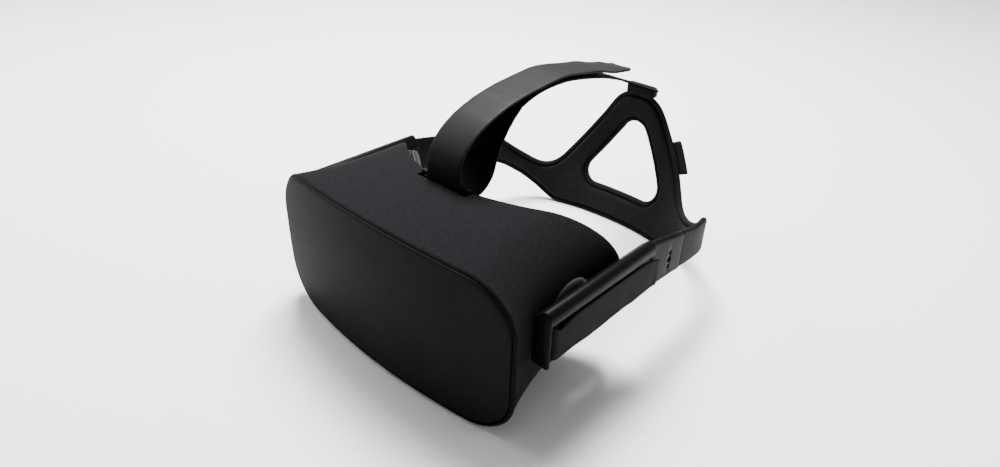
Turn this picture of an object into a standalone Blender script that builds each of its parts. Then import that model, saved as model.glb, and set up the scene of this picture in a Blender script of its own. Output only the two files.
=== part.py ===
"""VR headset: a fabric-covered visor, two side arms, a triangular rear cradle and a top strap.

Blender script. Dimensions are in millimetres, and become metres where a mesh is made.
+X is the wearer's left, -Y is the front, +Z is up. Inside the script y is counted from the middle of
the front plate's face, and the root empty then puts the object's centre on the origin.
"""

import math

import bmesh
import bpy
import numpy as np
from mathutils import Matrix, Vector

# ---------------------------------------------------------------- driving dimensions
MM = 0.001
GAP = 0.3
CENTRE_Y = 122.0

# Front plate: a rounded box in front view, swept back towards its sides.
PLATE_HALF = 86.0
PLATE_LOW, PLATE_HIGH = 1.8, 83.0
PLATE_CORNER = 24.0
PLATE_CROWN, PLATE_SAG = 5.2, 2.4
PLATE_SWEEP, PLATE_TUCK = 0.0014, 0.0006
PLATE_MID = 44.0
PLATE_THICK = 2.2

# Visor body: from the rolled rim round the plate to the rim that meets the face.
RIM_HALF, RIM_LOW, RIM_HIGH, RIM_CORNER = 88.2, -1.59, 84.4, 26.5
RIM_SETBACK = 1.0
REAR_RISE, REAR_LIFT = 9.0, 0.2
REAR_AT, REAR_SWEEP = 55.5, 0.0071
NOSE_RISE, NOSE_HALF = 20.0, 16.0
FABRIC, SHELL_GAP, SHELL = 1.2, 1.4, 1.2

# Face interface: its own, slightly smaller outline inside the rear rim.
FACE_HALF, FACE_LOW, FACE_HIGH, FACE_CORNER = 76.6, 14.0, 81.6, 26.0
FACE_CROWN, FACE_NOSE = -2.5, 24.0

# Optics.
EYE_HALF, EYE_HIGH = 32.0, 45.0
DISPLAY_HALF_W, DISPLAY_HALF_H = 27.5, 28.0
LENS_R, LENS_SEAT = 24.0, 25.0
IPD_TRAVEL = 3.5
RACK_MODULE, PINION_TEETH = 0.8, 12
RAIL_R, RAIL_LOW, RAIL_HIGH, RAIL_AT = 1.5, 14.0, 75.5, 18.5

# Arms: straight along +Y from the pivot, then the rear band curves round the back of the head.
PIVOT_AT, PIVOT_HIGH = 57.0, 54.5
ARM_FRONT, ARM_END, ARM_SEAM = 27.0, 111.0, 145.0
ARM_IN, ARM_WALL, ARM_SKIN, ARM_OUT = 84.6, 90.4, 91.4, 94.2
ARM_LOW, ARM_FLANGE, ARM_HIGH, ARM_CHAMFER = 39.5, 62.5, 70.5, 6.0
CHANNEL_LOW, CHANNEL_HIGH = 41.0, 64.0
BAR_AT, BAR_X, BAR_R = 34.5, 90.9, 1.1
FLAP_THICK, FLAP_LOW, FLAP_HIGH, FLAP_END = 1.4, 41.4, 61.4, 117.0
HOLE_AT, HOLE_MID, HOLE_PITCH = 132.0, 49.8, 4.2
HOLE_SMALL, HOLE_LARGE = 1.35, 1.85

# Rear cradle: an outer shell and an inner pad on one curved surface.
PAD_THICK, PAD_GAP, CRADLE_SHELL = 2.2, 0.8, 1.7
CRADLE_SWAY = 2.0
CRADLE_TOP = 92.0
HOLE_VERTEX, HOLE_BASE, HOLE_SLOPE = 35.5, 20.5, 0.607

# Top strap.
STRAP_NEAR, STRAP_FAR, STRAP_THICK = 12.5, -11.3, 1.4

# Segments in each corner, in the top and bottom edges and in the sides of an outline.
FINE, MEDIUM, COARSE = (6, 8, 3), (4, 8, 2), (4, 4, 2)

JOINT_AT = {
    "visor": (0.0, 0.0, 0.0),
    "face_mask": (0.0, REAR_AT, PLATE_MID),
    "pod_left": (EYE_HALF, RAIL_AT, EYE_HIGH),
    "pod_right": (-EYE_HALF, RAIL_AT, EYE_HIGH),
    "pinion": (0.0, 16.3, EYE_HIGH),
    "arms": (0.0, PIVOT_AT, PIVOT_HIGH),
    "carriage": (0.0, BAR_AT, PIVOT_HIGH),
    "cradle": (0.0, ARM_END, PIVOT_HIGH),
}

FINISHES = {
    "satin_plate": ((0.020, 0.020, 0.021), 0.42, 0.0),
    "soft_seal": ((0.006, 0.006, 0.006), 0.80, 0.0),
    "knit_fabric": ((0.012, 0.012, 0.014), 0.92, 0.0),
    "dark_plastic": ((0.018, 0.018, 0.018), 0.50, 0.0),
    "arm_plastic": ((0.022, 0.022, 0.023), 0.36, 0.0),
    "strap_leather": ((0.030, 0.029, 0.029), 0.55, 0.0),
    "hook_strap": ((0.020, 0.020, 0.020), 0.75, 0.0),
    "rubber": ((0.016, 0.016, 0.017), 0.60, 0.0),
    "pad_fabric": ((0.009, 0.009, 0.010), 0.95, 0.0),
    "foam": ((0.014, 0.014, 0.015), 0.97, 0.0),
    "glass": ((0.55, 0.60, 0.62), 0.05, 0.0),
    "display_glass": ((0.010, 0.010, 0.012), 0.08, 0.0),
    "circuit": ((0.010, 0.055, 0.025), 0.45, 0.0),
    "aluminium": ((0.62, 0.63, 0.64), 0.35, 1.0),
    "steel": ((0.45, 0.45, 0.46), 0.28, 1.0),
    "brass": ((0.70, 0.52, 0.20), 0.30, 1.0),
}


# ---------------------------------------------------------------- scene helpers
def clear_scene():
    for obj in list(bpy.data.objects):
        bpy.data.objects.remove(obj, do_unlink=True)


def new_collection(name):
    group = bpy.data.collections.new(name)
    bpy.context.scene.collection.children.link(group)
    return group


def new_finish(name, colour, roughness, metallic):
    finish = bpy.data.materials.new(name)
    finish.use_nodes = True
    shader = finish.node_tree.nodes["Principled BSDF"]
    shader.inputs["Base Color"].default_value = (*colour, 1.0)
    shader.inputs["Roughness"].default_value = roughness
    shader.inputs["Metallic"].default_value = metallic
    finish.diffuse_color = (*colour, 1.0)
    return finish


def new_empty(name, place, parent=None):
    empty = bpy.data.objects.new(name, None)
    empty.empty_display_size = 0.01
    empty.parent = parent
    empty.location = Vector(place) * MM
    PARTS.objects.link(empty)
    return empty


def add_part(name, mesh, finish, joint="visor", smooth=35.0):
    """Makes a named part, whose parent is the empty on its joint's axis."""
    part = bpy.data.objects.new(name, mesh)
    part.data.materials.clear()
    part.data.materials.append(MATERIALS[finish])
    part.parent = EMPTIES[joint]
    part.location = -Vector(JOINT_AT[joint]) * MM
    PARTS.objects.link(part)
    part.data.shade_smooth()
    part.data.set_sharp_from_angle(angle=math.radians(smooth))
    return part


def add_cutter(name, mesh):
    cutter = bpy.data.objects.new(name, mesh)
    cutter.parent = EMPTIES["visor"]
    cutter.hide_render = True
    cutter.display_type = "WIRE"
    CUTTERS.objects.link(cutter)
    return cutter


def boolean(part, cutter, operation="DIFFERENCE"):
    modifier = part.modifiers.new(f"{operation.lower()} {cutter.name}", "BOOLEAN")
    modifier.operation = operation
    modifier.object = cutter


def bevel(part, width, segments=2, angle=40.0):
    modifier = part.modifiers.new("rounded edges", "BEVEL")
    modifier.width = width * MM
    modifier.segments = segments
    modifier.limit_method = "ANGLE"
    modifier.angle_limit = math.radians(angle)
    modifier.harden_normals = False


# ---------------------------------------------------------------- mesh helpers
def finish_mesh(name, bm):
    """Scales a millimetre mesh to metres, with its faces pointing out."""
    bmesh.ops.recalc_face_normals(bm, faces=bm.faces)
    if bm.calc_volume(signed=True) < 0:
        bmesh.ops.reverse_faces(bm, faces=bm.faces)
    bmesh.ops.scale(bm, vec=(MM, MM, MM), verts=bm.verts)
    mesh = bpy.data.meshes.new(name)
    bm.to_mesh(mesh)
    bm.free()
    return mesh


def box_mesh(name, low, high):
    bm = bmesh.new()
    size = [b - a for a, b in zip(low, high)]
    centre = [(a + b) / 2 for a, b in zip(low, high)]
    placed = Matrix.Translation(centre) @ Matrix.Diagonal((*size, 1.0))
    bmesh.ops.create_cube(bm, size=1.0, matrix=placed)
    return finish_mesh(name, bm)


def rod_mesh(name, start, end, radius, sides=20, end_radius=None):
    """A cylinder or cone between two points."""
    bm = bmesh.new()
    start, end = Vector(start), Vector(end)
    along = end - start
    turn = along.to_track_quat("Z", "Y").to_matrix().to_4x4()
    placed = Matrix.Translation((start + end) / 2) @ turn
    bmesh.ops.create_cone(
        bm,
        cap_ends=True,
        segments=sides,
        radius1=radius,
        radius2=radius if end_radius is None else end_radius,
        depth=along.length,
        matrix=placed,
    )
    return finish_mesh(name, bm)


def loft_mesh(name, loops, ring=False):
    """Joins point loops of equal length; a ring closes on itself, anything else gets end caps."""
    bm = bmesh.new()
    rows = [[bm.verts.new(point) for point in loop] for loop in loops]
    pairs = list(zip(rows, rows[1:]))
    if ring:
        pairs.append((rows[-1], rows[0]))
    for first, second in pairs:
        count = len(first)
        for i in range(count):
            j = (i + 1) % count
            bm.faces.new((first[i], first[j], second[j], second[i]))
    if not ring:
        for row in (rows[0], rows[-1]):
            centre = sum((vert.co for vert in row), Vector()) / len(row)
            hub = bm.verts.new(centre)
            for i, vert in enumerate(row):
                bm.faces.new((vert, row[(i + 1) % len(row)], hub))
    return finish_mesh(name, bm)


def plate_mesh(name, outlines, half_thickness, place):
    """A flat outline with holes, as a filled 2D curve; place() turns its (u, v, t) into (x, y, z)."""
    curve = bpy.data.curves.new(name, "CURVE")
    curve.dimensions = "2D"
    curve.fill_mode = "BOTH"
    curve.extrude = half_thickness
    for outline in outlines:
        spline = curve.splines.new("POLY")
        spline.points.add(len(outline) - 1)
        for point, (u, v) in zip(spline.points, outline):
            point.co = (u, v, 0.0, 1.0)
        spline.use_cyclic_u = True
    flat = bpy.data.objects.new(name, curve)
    CUTTERS.objects.link(flat)
    bpy.context.view_layer.update()
    graph = bpy.context.evaluated_depsgraph_get()
    mesh = bpy.data.meshes.new_from_object(flat.evaluated_get(graph))
    bm = bmesh.new()
    bm.from_mesh(mesh)
    bmesh.ops.remove_doubles(bm, verts=bm.verts, dist=1e-4)
    bmesh.ops.dissolve_limit(bm, angle_limit=0.01, verts=bm.verts, edges=bm.edges)
    bpy.data.objects.remove(flat)
    bpy.data.curves.remove(curve)
    bpy.data.meshes.remove(mesh)
    return place(bm)


def bend(bm, name, point, u_step, v_step):
    """Slices a flat (u, v, t) mesh along a grid, then moves each vertex to point(u, v, t)."""
    for axis, step in ((0, u_step), (1, v_step)):
        values = [vert.co[axis] for vert in bm.verts]
        first = math.ceil(min(values) / step + 0.05)
        last = math.floor(max(values) / step - 0.05)
        normal = Vector((1.0, 0.0, 0.0)) if axis == 0 else Vector((0.0, 1.0, 0.0))
        for index in range(first, last + 1):
            everything = bm.verts[:] + bm.edges[:] + bm.faces[:]
            at = normal * index * step
            bmesh.ops.bisect_plane(bm, geom=everything, dist=1e-4, plane_co=at, plane_no=normal)
    for vert in bm.verts:
        vert.co = Vector(point(*vert.co))
    return finish_mesh(name, bm)


def ribbon_mesh(name, path, thickness, low, high, upright):
    """A strip of constant thickness along a plan path, from low to high across it.

    upright strips have their path in (x, y) and their width along z; the others have their path
    in (y, z) and their width along x. low and high may be functions of the position on the path.
    """
    points = [Vector(p) for p in path]
    sides = ([], [])
    for i, point in enumerate(points):
        before = points[max(i - 1, 0)]
        after = points[min(i + 1, len(points) - 1)]
        tangent = (after - before).normalized()
        normal = Vector((-tangent.y, tangent.x)) * thickness / 2
        sides[0].append(point + normal)
        sides[1].append(point - normal)
    bm = bmesh.new()
    rows = []
    for i, point in enumerate(points):
        along = i / (len(points) - 1)
        bottom = low(along) if callable(low) else low
        top = high(along) if callable(high) else high
        row = []
        for side, level in ((0, bottom), (1, bottom), (1, top), (0, top)):
            a, b = sides[side][i]
            row.append(bm.verts.new((a, b, level) if upright else (level, a, b)))
        rows.append(row)
    for first, second in zip(rows, rows[1:]):
        for i in range(4):
            j = (i + 1) % 4
            bm.faces.new((first[i], first[j], second[j], second[i]))
    bm.faces.new(rows[0])
    bm.faces.new(rows[-1])
    return finish_mesh(name, bm)


def smooth_path(points, spacing):
    """Points on a Catmull-Rom curve through the given ones, about one spacing apart."""
    fine = []
    padded = [points[0], *points, points[-1]]
    for p0, p1, p2, p3 in zip(padded, padded[1:], padded[2:], padded[3:]):
        p0, p1, p2, p3 = (np.array(p, float) for p in (p0, p1, p2, p3))
        steps = max(1, round(float(np.linalg.norm(p2 - p1)) / spacing))
        for k in range(steps):
            t = k / steps
            fine.append(
                0.5 * (2 * p1 + (p2 - p0) * t + (2 * p0 - 5 * p1 + 4 * p2 - p3) * t**2
                       + (3 * p1 - p0 - 3 * p2 + p3) * t**3)
            )
    fine.append(np.array(points[-1], float))
    return [tuple(float(c) for c in p) for p in fine]


def mirrored(side, low, high):
    """The same box on the wearer's left (+1) or right (-1)."""
    xs = sorted((side * low[0], side * high[0]))
    return (xs[0], *low[1:]), (xs[1], *high[1:])


# ---------------------------------------------------------------- visor surfaces
def rounded_outline(half, low, high, corner, crown=0.0, sag=0.0, nose=0.0, steps=FINE):
    """A closed (x, z) outline: a rounded box whose top bulges by crown and whose bottom lifts by sag."""
    bottom, top = low + corner, high - corner
    corners = ((1, bottom, -90), (1, top, 0), (-1, top, 90), (-1, bottom, 180))
    corner_steps, edge_steps, side_steps = steps
    gaps = (side_steps, edge_steps, side_steps, edge_steps)
    arcs = []
    for side, centre, first in corners:
        arc = []
        for i in range(corner_steps + 1):
            angle = math.radians(first + 90 * i / corner_steps)
            arc.append((side * (half - corner) + corner * math.cos(angle), centre + corner * math.sin(angle)))
        arcs.append(arc)
    outline = []
    for k, arc in enumerate(arcs):
        outline += arc
        (x0, z0), (x1, z1) = arc[-1], arcs[(k + 1) % 4][0]
        for i in range(1, gaps[k]):
            t = i / gaps[k]
            outline.append((x0 + (x1 - x0) * t, z0 + (z1 - z0) * t))
    shaped = []
    for x, z in outline:
        t = (z - low) / (high - low)
        middle = 1 - (x / half) ** 2
        lift = crown * middle * t + sag * middle * (1 - t)
        lift += nose * math.exp(-((x / NOSE_HALF) ** 2)) * (1 - t)
        shaped.append((x, z + lift))
    return shaped


def front_y(x, z):
    return PLATE_SWEEP * x * x + PLATE_TUCK * (z - PLATE_MID) ** 2


def rear_y(x, z):
    return REAR_AT + REAR_SWEEP * x * x - 0.15 * max(0.0, z - 56.0) * (x / 81.0) ** 2


def visor_loop(f, inset, y_shift=0.0, steps=FINE):
    """The visor's skin at fraction f of its depth, moved inwards by inset."""
    half = 79.0 + (RIM_HALF - 79.0) * (1 - f) ** 3.2 + 2.0 * f * f - inset
    low = RIM_LOW * (1 - f) ** 3 + REAR_RISE * (1 - (1 - f) ** 1.8) + inset
    high = RIM_HIGH + REAR_LIFT * min(1.0, f / 0.25) - inset
    nose = (NOSE_RISE + 1.3 * inset) * max(0.0, (f - 0.35) / 0.65) ** 2
    corner = RIM_CORNER + 3.5 * f - inset
    outline = rounded_outline(half, low, high, corner, PLATE_CROWN, PLATE_SAG * (1 - f), nose, steps)
    loop = []
    for x, z in outline:
        y0 = front_y(x, z) + RIM_SETBACK
        loop.append((x, y0 + (rear_y(x, z) - y0) * f + y_shift, z))
    return loop


def plate_loop(inset, y_shift, scale=1.0, steps=FINE):
    """The front plate's outline moved inwards and back, or shrunk towards its middle."""
    outline = rounded_outline(PLATE_HALF - inset, PLATE_LOW + inset, PLATE_HIGH - inset, PLATE_CORNER - inset,
                              PLATE_CROWN, PLATE_SAG, steps=steps)
    loop = []
    for x, z in outline:
        x, z = x * scale, PLATE_MID + (z - PLATE_MID) * scale
        loop.append((x, front_y(x, z) + y_shift, z))
    return loop


def face_loop(inset, y_shift, spread=0.0):
    """The face interface's outline, inset and moved back; spread moves its sides back further."""
    outline = rounded_outline(FACE_HALF - inset, FACE_LOW + inset, FACE_HIGH - inset, FACE_CORNER - inset,
                              FACE_CROWN, 0.0, FACE_NOSE, MEDIUM)
    return [(x, rear_y(x, z) + y_shift + spread * (x / FACE_HALF) ** 2, z) for x, z in outline]


# ---------------------------------------------------------------- visor
def make_front_plate():
    scales = (0.4, 0.8)
    face = [plate_loop(0, 0, s) for s in scales] + [plate_loop(0.5, 0), plate_loop(0, 0.5)]
    back = [plate_loop(0, PLATE_THICK)] + [plate_loop(0, PLATE_THICK, s) for s in reversed(scales)]
    add_part("front_plate", loft_mesh("front_plate", face + back), "satin_plate")


def make_seam_gasket():
    corners = ((0.9, 2.5), (0.9, 3.4), (3.4, 3.4), (3.4, 2.5))
    loops = [plate_loop(inset, back, steps=MEDIUM) for inset, back in corners]
    add_part("seam_gasket", loft_mesh("seam_gasket", loops, ring=True), "soft_seal")


def make_tracking_frame():
    """A thin carrier behind the plate, with a lamp boss at each tracking point."""
    scales = (0.5, 1.0)
    near = [plate_loop(4.0, 3.2, s, MEDIUM) for s in scales]
    far = [plate_loop(4.0, 4.4, s, MEDIUM) for s in reversed(scales)]
    frame = add_part("tracking_frame", loft_mesh("tracking_frame", near + far), "dark_plastic")
    for x, z in ((0, 55), (-45, 30), (45, 30), (-46, 61), (46, 61), (-69, 47), (69, 47)):
        back = front_y(x, z) + 3.6
        lamp = add_cutter(f"lamp_{x}_{z}", rod_mesh("lamp", (x, back, z), (x, back + 1.6, z), 2.4, 6))
        boolean(frame, lamp, "UNION")


def cut_visor_openings(part):
    """Strap notch at the top rear, pivot holes in the sides and the spacing slider's slot below."""
    boolean(part, add_cutter("strap_notch", box_mesh("notch", (-18.0, 50.6, 76.0), (18.0, 62.0, 97.0))))
    boolean(part, add_cutter("slider_slot", box_mesh("slot", (-48.0, 17.5, -2.0), (-22.0, 22.5, 13.0))))
    hole = rod_mesh("pivot_holes", (-95, PIVOT_AT, PIVOT_HIGH), (95, PIVOT_AT, PIVOT_HIGH), 6.9, 24)
    boolean(part, add_cutter("pivot_holes", hole))


def make_body_shell():
    inset = FABRIC + SHELL_GAP
    stations = (0.05, 0.10, 0.22, 0.42, 0.56, 0.70, 0.84, 0.975)
    outer = [visor_loop(f, inset, steps=MEDIUM) for f in stations]
    inner = [visor_loop(f, inset + SHELL, steps=MEDIUM) for f in reversed(stations)]
    shell = add_part("body_shell", loft_mesh("body_shell", outer + inner, ring=True), "dark_plastic")
    cut_visor_openings(shell)


def make_fabric_shroud():
    """The knitted cover, rolled in round the front plate."""
    outer = [visor_loop(0.0, 1.0, 0.4), visor_loop(0.004, 0.35), visor_loop(0.022, 0.0)]
    outer += [visor_loop(f, 0.0) for f in (0.07, 0.16, 0.28, 0.42, 0.56, 0.70, 0.84, 0.96)]
    outer += [visor_loop(0.995, 0.4)]
    inner = [visor_loop(f, FABRIC) for f in (0.975, 0.84, 0.70, 0.56, 0.42, 0.22, 0.10, 0.05)]
    inner += [visor_loop(0.022, 1.0)]
    shroud = add_part("fabric_shroud", loft_mesh("fabric_shroud", outer + inner, ring=True), "knit_fabric")
    cut_visor_openings(shroud)


def make_chassis():
    """The frame that everything in the visor is fixed to, with lugs for the two slide rails."""
    outline = rounded_outline(74.0, 11.0, 80.5, 18.0, steps=COARSE)
    window = rounded_outline(11.0, 57.0, 70.0, 3.0, steps=(2, 1, 1))

    def place(bm):
        for vert in bm.verts:
            u, v, t = vert.co
            vert.co = (u, 14.0 + t, v)
        return finish_mesh("chassis", bm)

    chassis = add_part("chassis", plate_mesh("chassis", [outline, window], 1.0, place), "dark_plastic")
    for side in (-1, 1):
        for high in (RAIL_LOW, RAIL_HIGH):
            low, top = mirrored(side, (64.5, 13.5, high - 2.6), (68.5, 21.5, high + 2.6))
            boolean(chassis, add_cutter(f"lug_{side}_{high}", box_mesh("lug", low, top)), "UNION")
    for high in (RAIL_LOW, RAIL_HIGH):
        hole = rod_mesh("rail_hole", (-75, RAIL_AT, high), (75, RAIL_AT, high), RAIL_R + GAP, 12)
        boolean(chassis, add_cutter(f"rail_hole_{high}", hole))
    for x, z in ((-60, 24), (60, 24), (-60, 68), (60, 68)):
        hole = rod_mesh("screw_hole", (x, 11, z), (x, 17, z), 1.5, 8)
        boolean(chassis, add_cutter(f"screw_hole_{x}_{z}", hole))
        head = rod_mesh("head", (x, 15.4, z), (x, 17.0, z), 2.6, 10)
        number = 1 + (x > 0) + 2 * (z > 44)
        screw = add_part(f"chassis_screw_{number}", head, "steel")
        shank = rod_mesh("shank", (x, 11.2, z), (x, 16.0, z), 1.1, 8)
        boolean(screw, add_cutter(f"shank_{x}_{z}", shank), "UNION")
    pin_hole = rod_mesh("pin_hole", (0, 11, EYE_HIGH), (0, 17, EYE_HIGH), 1.3, 12)
    boolean(chassis, add_cutter("pin_hole", pin_hole))


def make_electronics():
    """Main board with its chips, and the heat spreader behind the tracking frame."""
    spreader = box_mesh("heat_spreader", (-48, 9.0, 16), (48, 9.6, 72))
    add_part("heat_spreader", spreader, "aluminium")
    board = add_part("main_board", box_mesh("main_board", (-52, 11.2, 18), (52, 12.4, 70)), "circuit")
    chips = ((-30, 54, 7), (8, 56, 9), (34, 30, 6), (-12, 30, 5))
    for x, z, half in chips:
        chip = box_mesh("chip", (x - half, 10.0, z - half), (x + half, 11.8, z + half))
        boolean(board, add_cutter(f"chip_{x}", chip), "UNION")
    for x in (-52.0, 46.0):
        clear = box_mesh("board_corner", (x, 10.0, 60.0), (x + 6.0, 13.0, 71.0))
        boolean(board, add_cutter(f"board_corner_{x}", clear))


def make_optics(side, name):
    """Display, lens barrel and lens of one eye; the barrel slides on the two rails."""
    eye = side * EYE_HALF
    joint = f"pod_{name}"
    low, high = (eye - 25.0, 18.6, EYE_HIGH - 26.0), (eye + 25.0, 20.6, EYE_HIGH + 26.0)
    display = add_part(f"display_{name}", box_mesh("display", low, high), "display_glass", joint)
    bevel(display, 0.5, 1)

    def section(y, half_w, half_h, corner):
        """A rounded rectangle at the display end, a circle at the lens end."""
        low, high = EYE_HIGH - half_h, EYE_HIGH + half_h
        return [(eye + x, y, z) for x, z in rounded_outline(half_w, low, high, corner, steps=(4, 2, 2))]

    wall = 1.8
    outer = [
        section(21.0, DISPLAY_HALF_W, DISPLAY_HALF_H, 5.0),
        section(27.0, DISPLAY_HALF_W, DISPLAY_HALF_H, 8.0),
        section(45.0, 27.0, 27.0, 26.9),
        section(51.0, 27.0, 27.0, 26.9),
    ]
    inner = [
        section(51.0, LENS_SEAT, LENS_SEAT, LENS_SEAT - 0.1),
        section(44.0, LENS_SEAT, LENS_SEAT, LENS_SEAT - 0.1),
        section(27.0, DISPLAY_HALF_W - wall, DISPLAY_HALF_H - wall, 6.0),
        section(21.0, DISPLAY_HALF_W - wall, DISPLAY_HALF_H - wall, 4.0),
    ]
    tube = loft_mesh("barrel", outer + inner, ring=True)
    barrel = add_part(f"lens_barrel_{name}", tube, "dark_plastic", joint)
    for rail, reach in ((RAIL_LOW, -1), (RAIL_HIGH, 1)):
        edge = EYE_HIGH + reach * (DISPLAY_HALF_H - 1.0)
        z0, z1 = sorted((edge, rail + reach * 2.7))
        shoe = box_mesh("shoe", (eye - 7.0, 21.2, z0), (eye + 7.0, 25.0, z1))
        boolean(barrel, add_cutter(f"shoe_{name}_{rail}", shoe), "UNION")
        z0, z1 = rail - 2.8, rail + 2.8
        eye_block = box_mesh("eye_block", (eye - 7.0, 15.6, z0), (eye + 7.0, 22.0, z1))
        boolean(barrel, add_cutter(f"eye_block_{name}_{rail}", eye_block), "UNION")
        bore = rod_mesh("rail_bore", (eye - 12, RAIL_AT, rail), (eye + 12, RAIL_AT, rail), RAIL_R + GAP, 12)
        boolean(barrel, add_cutter(f"rail_bore_{name}_{rail}", bore))

    rings = [(12.0, 45.8), (LENS_R, 47.5), (LENS_R, 49.5), (18.0, 52.6), (9.0, 54.2)]
    loops = []
    for radius, y in rings:
        turns = [2 * math.pi * k / 24 for k in range(24)]
        loops.append([(eye + radius * math.cos(a), y, EYE_HIGH + radius * math.sin(a)) for a in turns])
    add_part(f"lens_{name}", loft_mesh("lens", loops), "glass", joint)


def make_rails():
    for name, high in (("lower", RAIL_LOW), ("upper", RAIL_HIGH)):
        rail = rod_mesh("rail", (-69, RAIL_AT, high), (69, RAIL_AT, high), RAIL_R, 12)
        add_part(f"ipd_rail_{name}", rail, "steel")


def tooth_row(count, pitch, depth):
    """Points along a straight row of pointed teeth, from its first root to its last."""
    points = []
    for k in range(count):
        x = k * pitch
        points += [(x, 0.0), (x + 0.32 * pitch, 0.0), (x + 0.58 * pitch, depth), (x + 0.74 * pitch, depth)]
    points.append((count * pitch, 0.0))
    return points


def make_spacing_drive():
    """Two racks and a pinion that keep both lenses the same distance from the nose."""
    pitch = math.pi * RACK_MODULE
    radius = RACK_MODULE * PINION_TEETH / 2
    root, tip = radius - 1.25 * RACK_MODULE, radius + 0.75 * RACK_MODULE
    outline = []
    for k in range(PINION_TEETH):
        start = 2 * math.pi * (k - 0.5) / PINION_TEETH
        turn = 2 * math.pi / PINION_TEETH
        for share, reach in ((0.16, root), (0.42, tip), (0.58, tip), (0.84, root)):
            angle = start + share * turn
            outline.append((reach * math.cos(angle), EYE_HIGH + reach * math.sin(angle)))

    def place(bm):
        for vert in bm.verts:
            u, v, t = vert.co
            vert.co = (u, 16.4 + t, v)
        return finish_mesh("gear", bm)

    add_part("ipd_pinion", plate_mesh("pinion", [outline], 0.8, place), "brass", "pinion")
    pin = rod_mesh("pin", (0, 12.8, EYE_HIGH), (0, 16.5, EYE_HIGH), 1.0, 12)
    boolean(bpy.data.objects["ipd_pinion"], add_cutter("pinion_pin", pin), "UNION")

    count = 9
    for side, name in ((1, "left"), (-1, "right")):
        valley = radius + 1.0 * RACK_MODULE
        depth = 1.7 * RACK_MODULE
        start = -count * pitch / 2 + 0.34 * pitch
        teeth = [(start + x, valley - z) for x, z in tooth_row(count, pitch, depth)]
        bar = [(start + count * pitch, valley + 3.0), (start, valley + 3.0)]
        reach = [(teeth[-1][0], valley), (38.0, valley), (38.0, valley + 3.0)]
        shape = [(side * x, EYE_HIGH + side * z) for x, z in teeth + reach + bar[1:]]
        add_part(f"ipd_rack_{name}", plate_mesh("rack", [shape], 0.8, place), "dark_plastic", f"pod_{name}")


def make_spacing_slider():
    """The thumb slider below the visor, whose stem reaches up to the right barrel's shoe."""
    knob = box_mesh("ipd_slider", (-41.0, 17.4, 0.7), (-29.0, 23.6, 3.0))
    slider = add_part("ipd_slider", knob, "dark_plastic", "pod_right")
    stem = box_mesh("stem", (-37.5, 18.4, 2.5), (-32.5, 21.6, 10.8))
    boolean(slider, add_cutter("slider_stem", stem), "UNION")
    for k in range(3):
        x = -37.5 + 2.5 * k
        rib = box_mesh("rib", (x - 0.5, 18.0, 0.2), (x + 0.5, 23.0, 1.2))
        boolean(slider, add_cutter(f"slider_rib_{k}", rib), "UNION")


def make_lens_liner():
    """A stretch sheet round the two barrels that hides the works."""
    outline = rounded_outline(72.0, 14.5, 79.0, 22.0, nose=14.0, steps=MEDIUM)
    windows = []
    for side in (-1, 1):
        centre = side * EYE_HALF
        turns = [2 * math.pi * k / 24 for k in range(24)]
        stretch = IPD_TRAVEL + GAP
        window = [(centre + 27.6 * math.cos(a), EYE_HIGH + 27.9 * math.sin(a)) for a in turns]
        windows.append([(x + math.copysign(stretch, x - centre), z) for x, z in window])
    windows[0] = [(min(x, -0.6), z) for x, z in windows[0]]
    windows[1] = [(max(x, 0.6), z) for x, z in windows[1]]

    def place(bm):
        for vert in bm.verts:
            u, v, t = vert.co
            vert.co = (u, 47.0 + t, v)
        return finish_mesh("lens_liner", bm)

    add_part("lens_liner", plate_mesh("lens_liner", [outline, *windows], 0.4, place), "knit_fabric")
    sensor = box_mesh("proximity_sensor", (-4.0, 47.9, 70.5), (4.0, 50.5, 74.5))
    bevel(add_part("proximity_sensor", sensor, "display_glass"), 0.5, 2)


def make_cable_socket():
    """The recessed socket that the headset's lead plugs into."""
    block = box_mesh("cable_socket", (64.4, 22.5, 40.0), (76.0, 43.5, 50.0))
    socket = add_part("cable_socket", block, "dark_plastic")
    for z in (42.0, 46.0):
        port = box_mesh("port", (66.0, 30.0, z), (74.4, 44.5, z + 2.4))
        boolean(socket, add_cutter(f"port_{z}", port))


def make_face_interface():
    """The stiff frame that clips into the visor and the foam ring on its back."""
    frame = [face_loop(0.0, -2.0), face_loop(0.0, 2.0, 0.6), face_loop(1.2, 3.4, 0.6)]
    frame += [face_loop(8.0, 3.4, 0.6), face_loop(8.0, -2.0)]
    frame = loft_mesh("face_frame", frame, ring=True)
    add_part("face_frame", frame, "dark_plastic", "face_mask")
    foam = [face_loop(1.5, 3.8, 0.6), face_loop(1.8, 5.8, 1.2), face_loop(4.5, 7.2, 1.4)]
    foam += [face_loop(10.0, 7.2, 1.0), face_loop(13.0, 5.6, 0.6), face_loop(12.5, 3.8, 0.6)]
    add_part("face_foam", loft_mesh("face_foam", foam, ring=True), "foam", "face_mask")


def make_strap_bracket():
    """The bar that the top strap loops round, on two feet inside the shell's notch."""
    bar = box_mesh("strap_bracket", (-17.5, 53.9, 89.2), (17.5, 56.4, 91.4))
    bracket = add_part("strap_bracket", bar, "arm_plastic")
    for side in (-1, 1):
        low, high = mirrored(side, (14.4, 53.9, 85.2), (17.5, 56.4, 91.4))
        low_foot, high_foot = mirrored(side, (14.4, 46.0, 82.4), (17.5, 56.4, 85.4))
        boolean(bracket, add_cutter(f"bar_end_{side}", box_mesh("end", low, high)), "UNION")
        boolean(bracket, add_cutter(f"bar_foot_{side}", box_mesh("foot", low_foot, high_foot)), "UNION")


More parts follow.
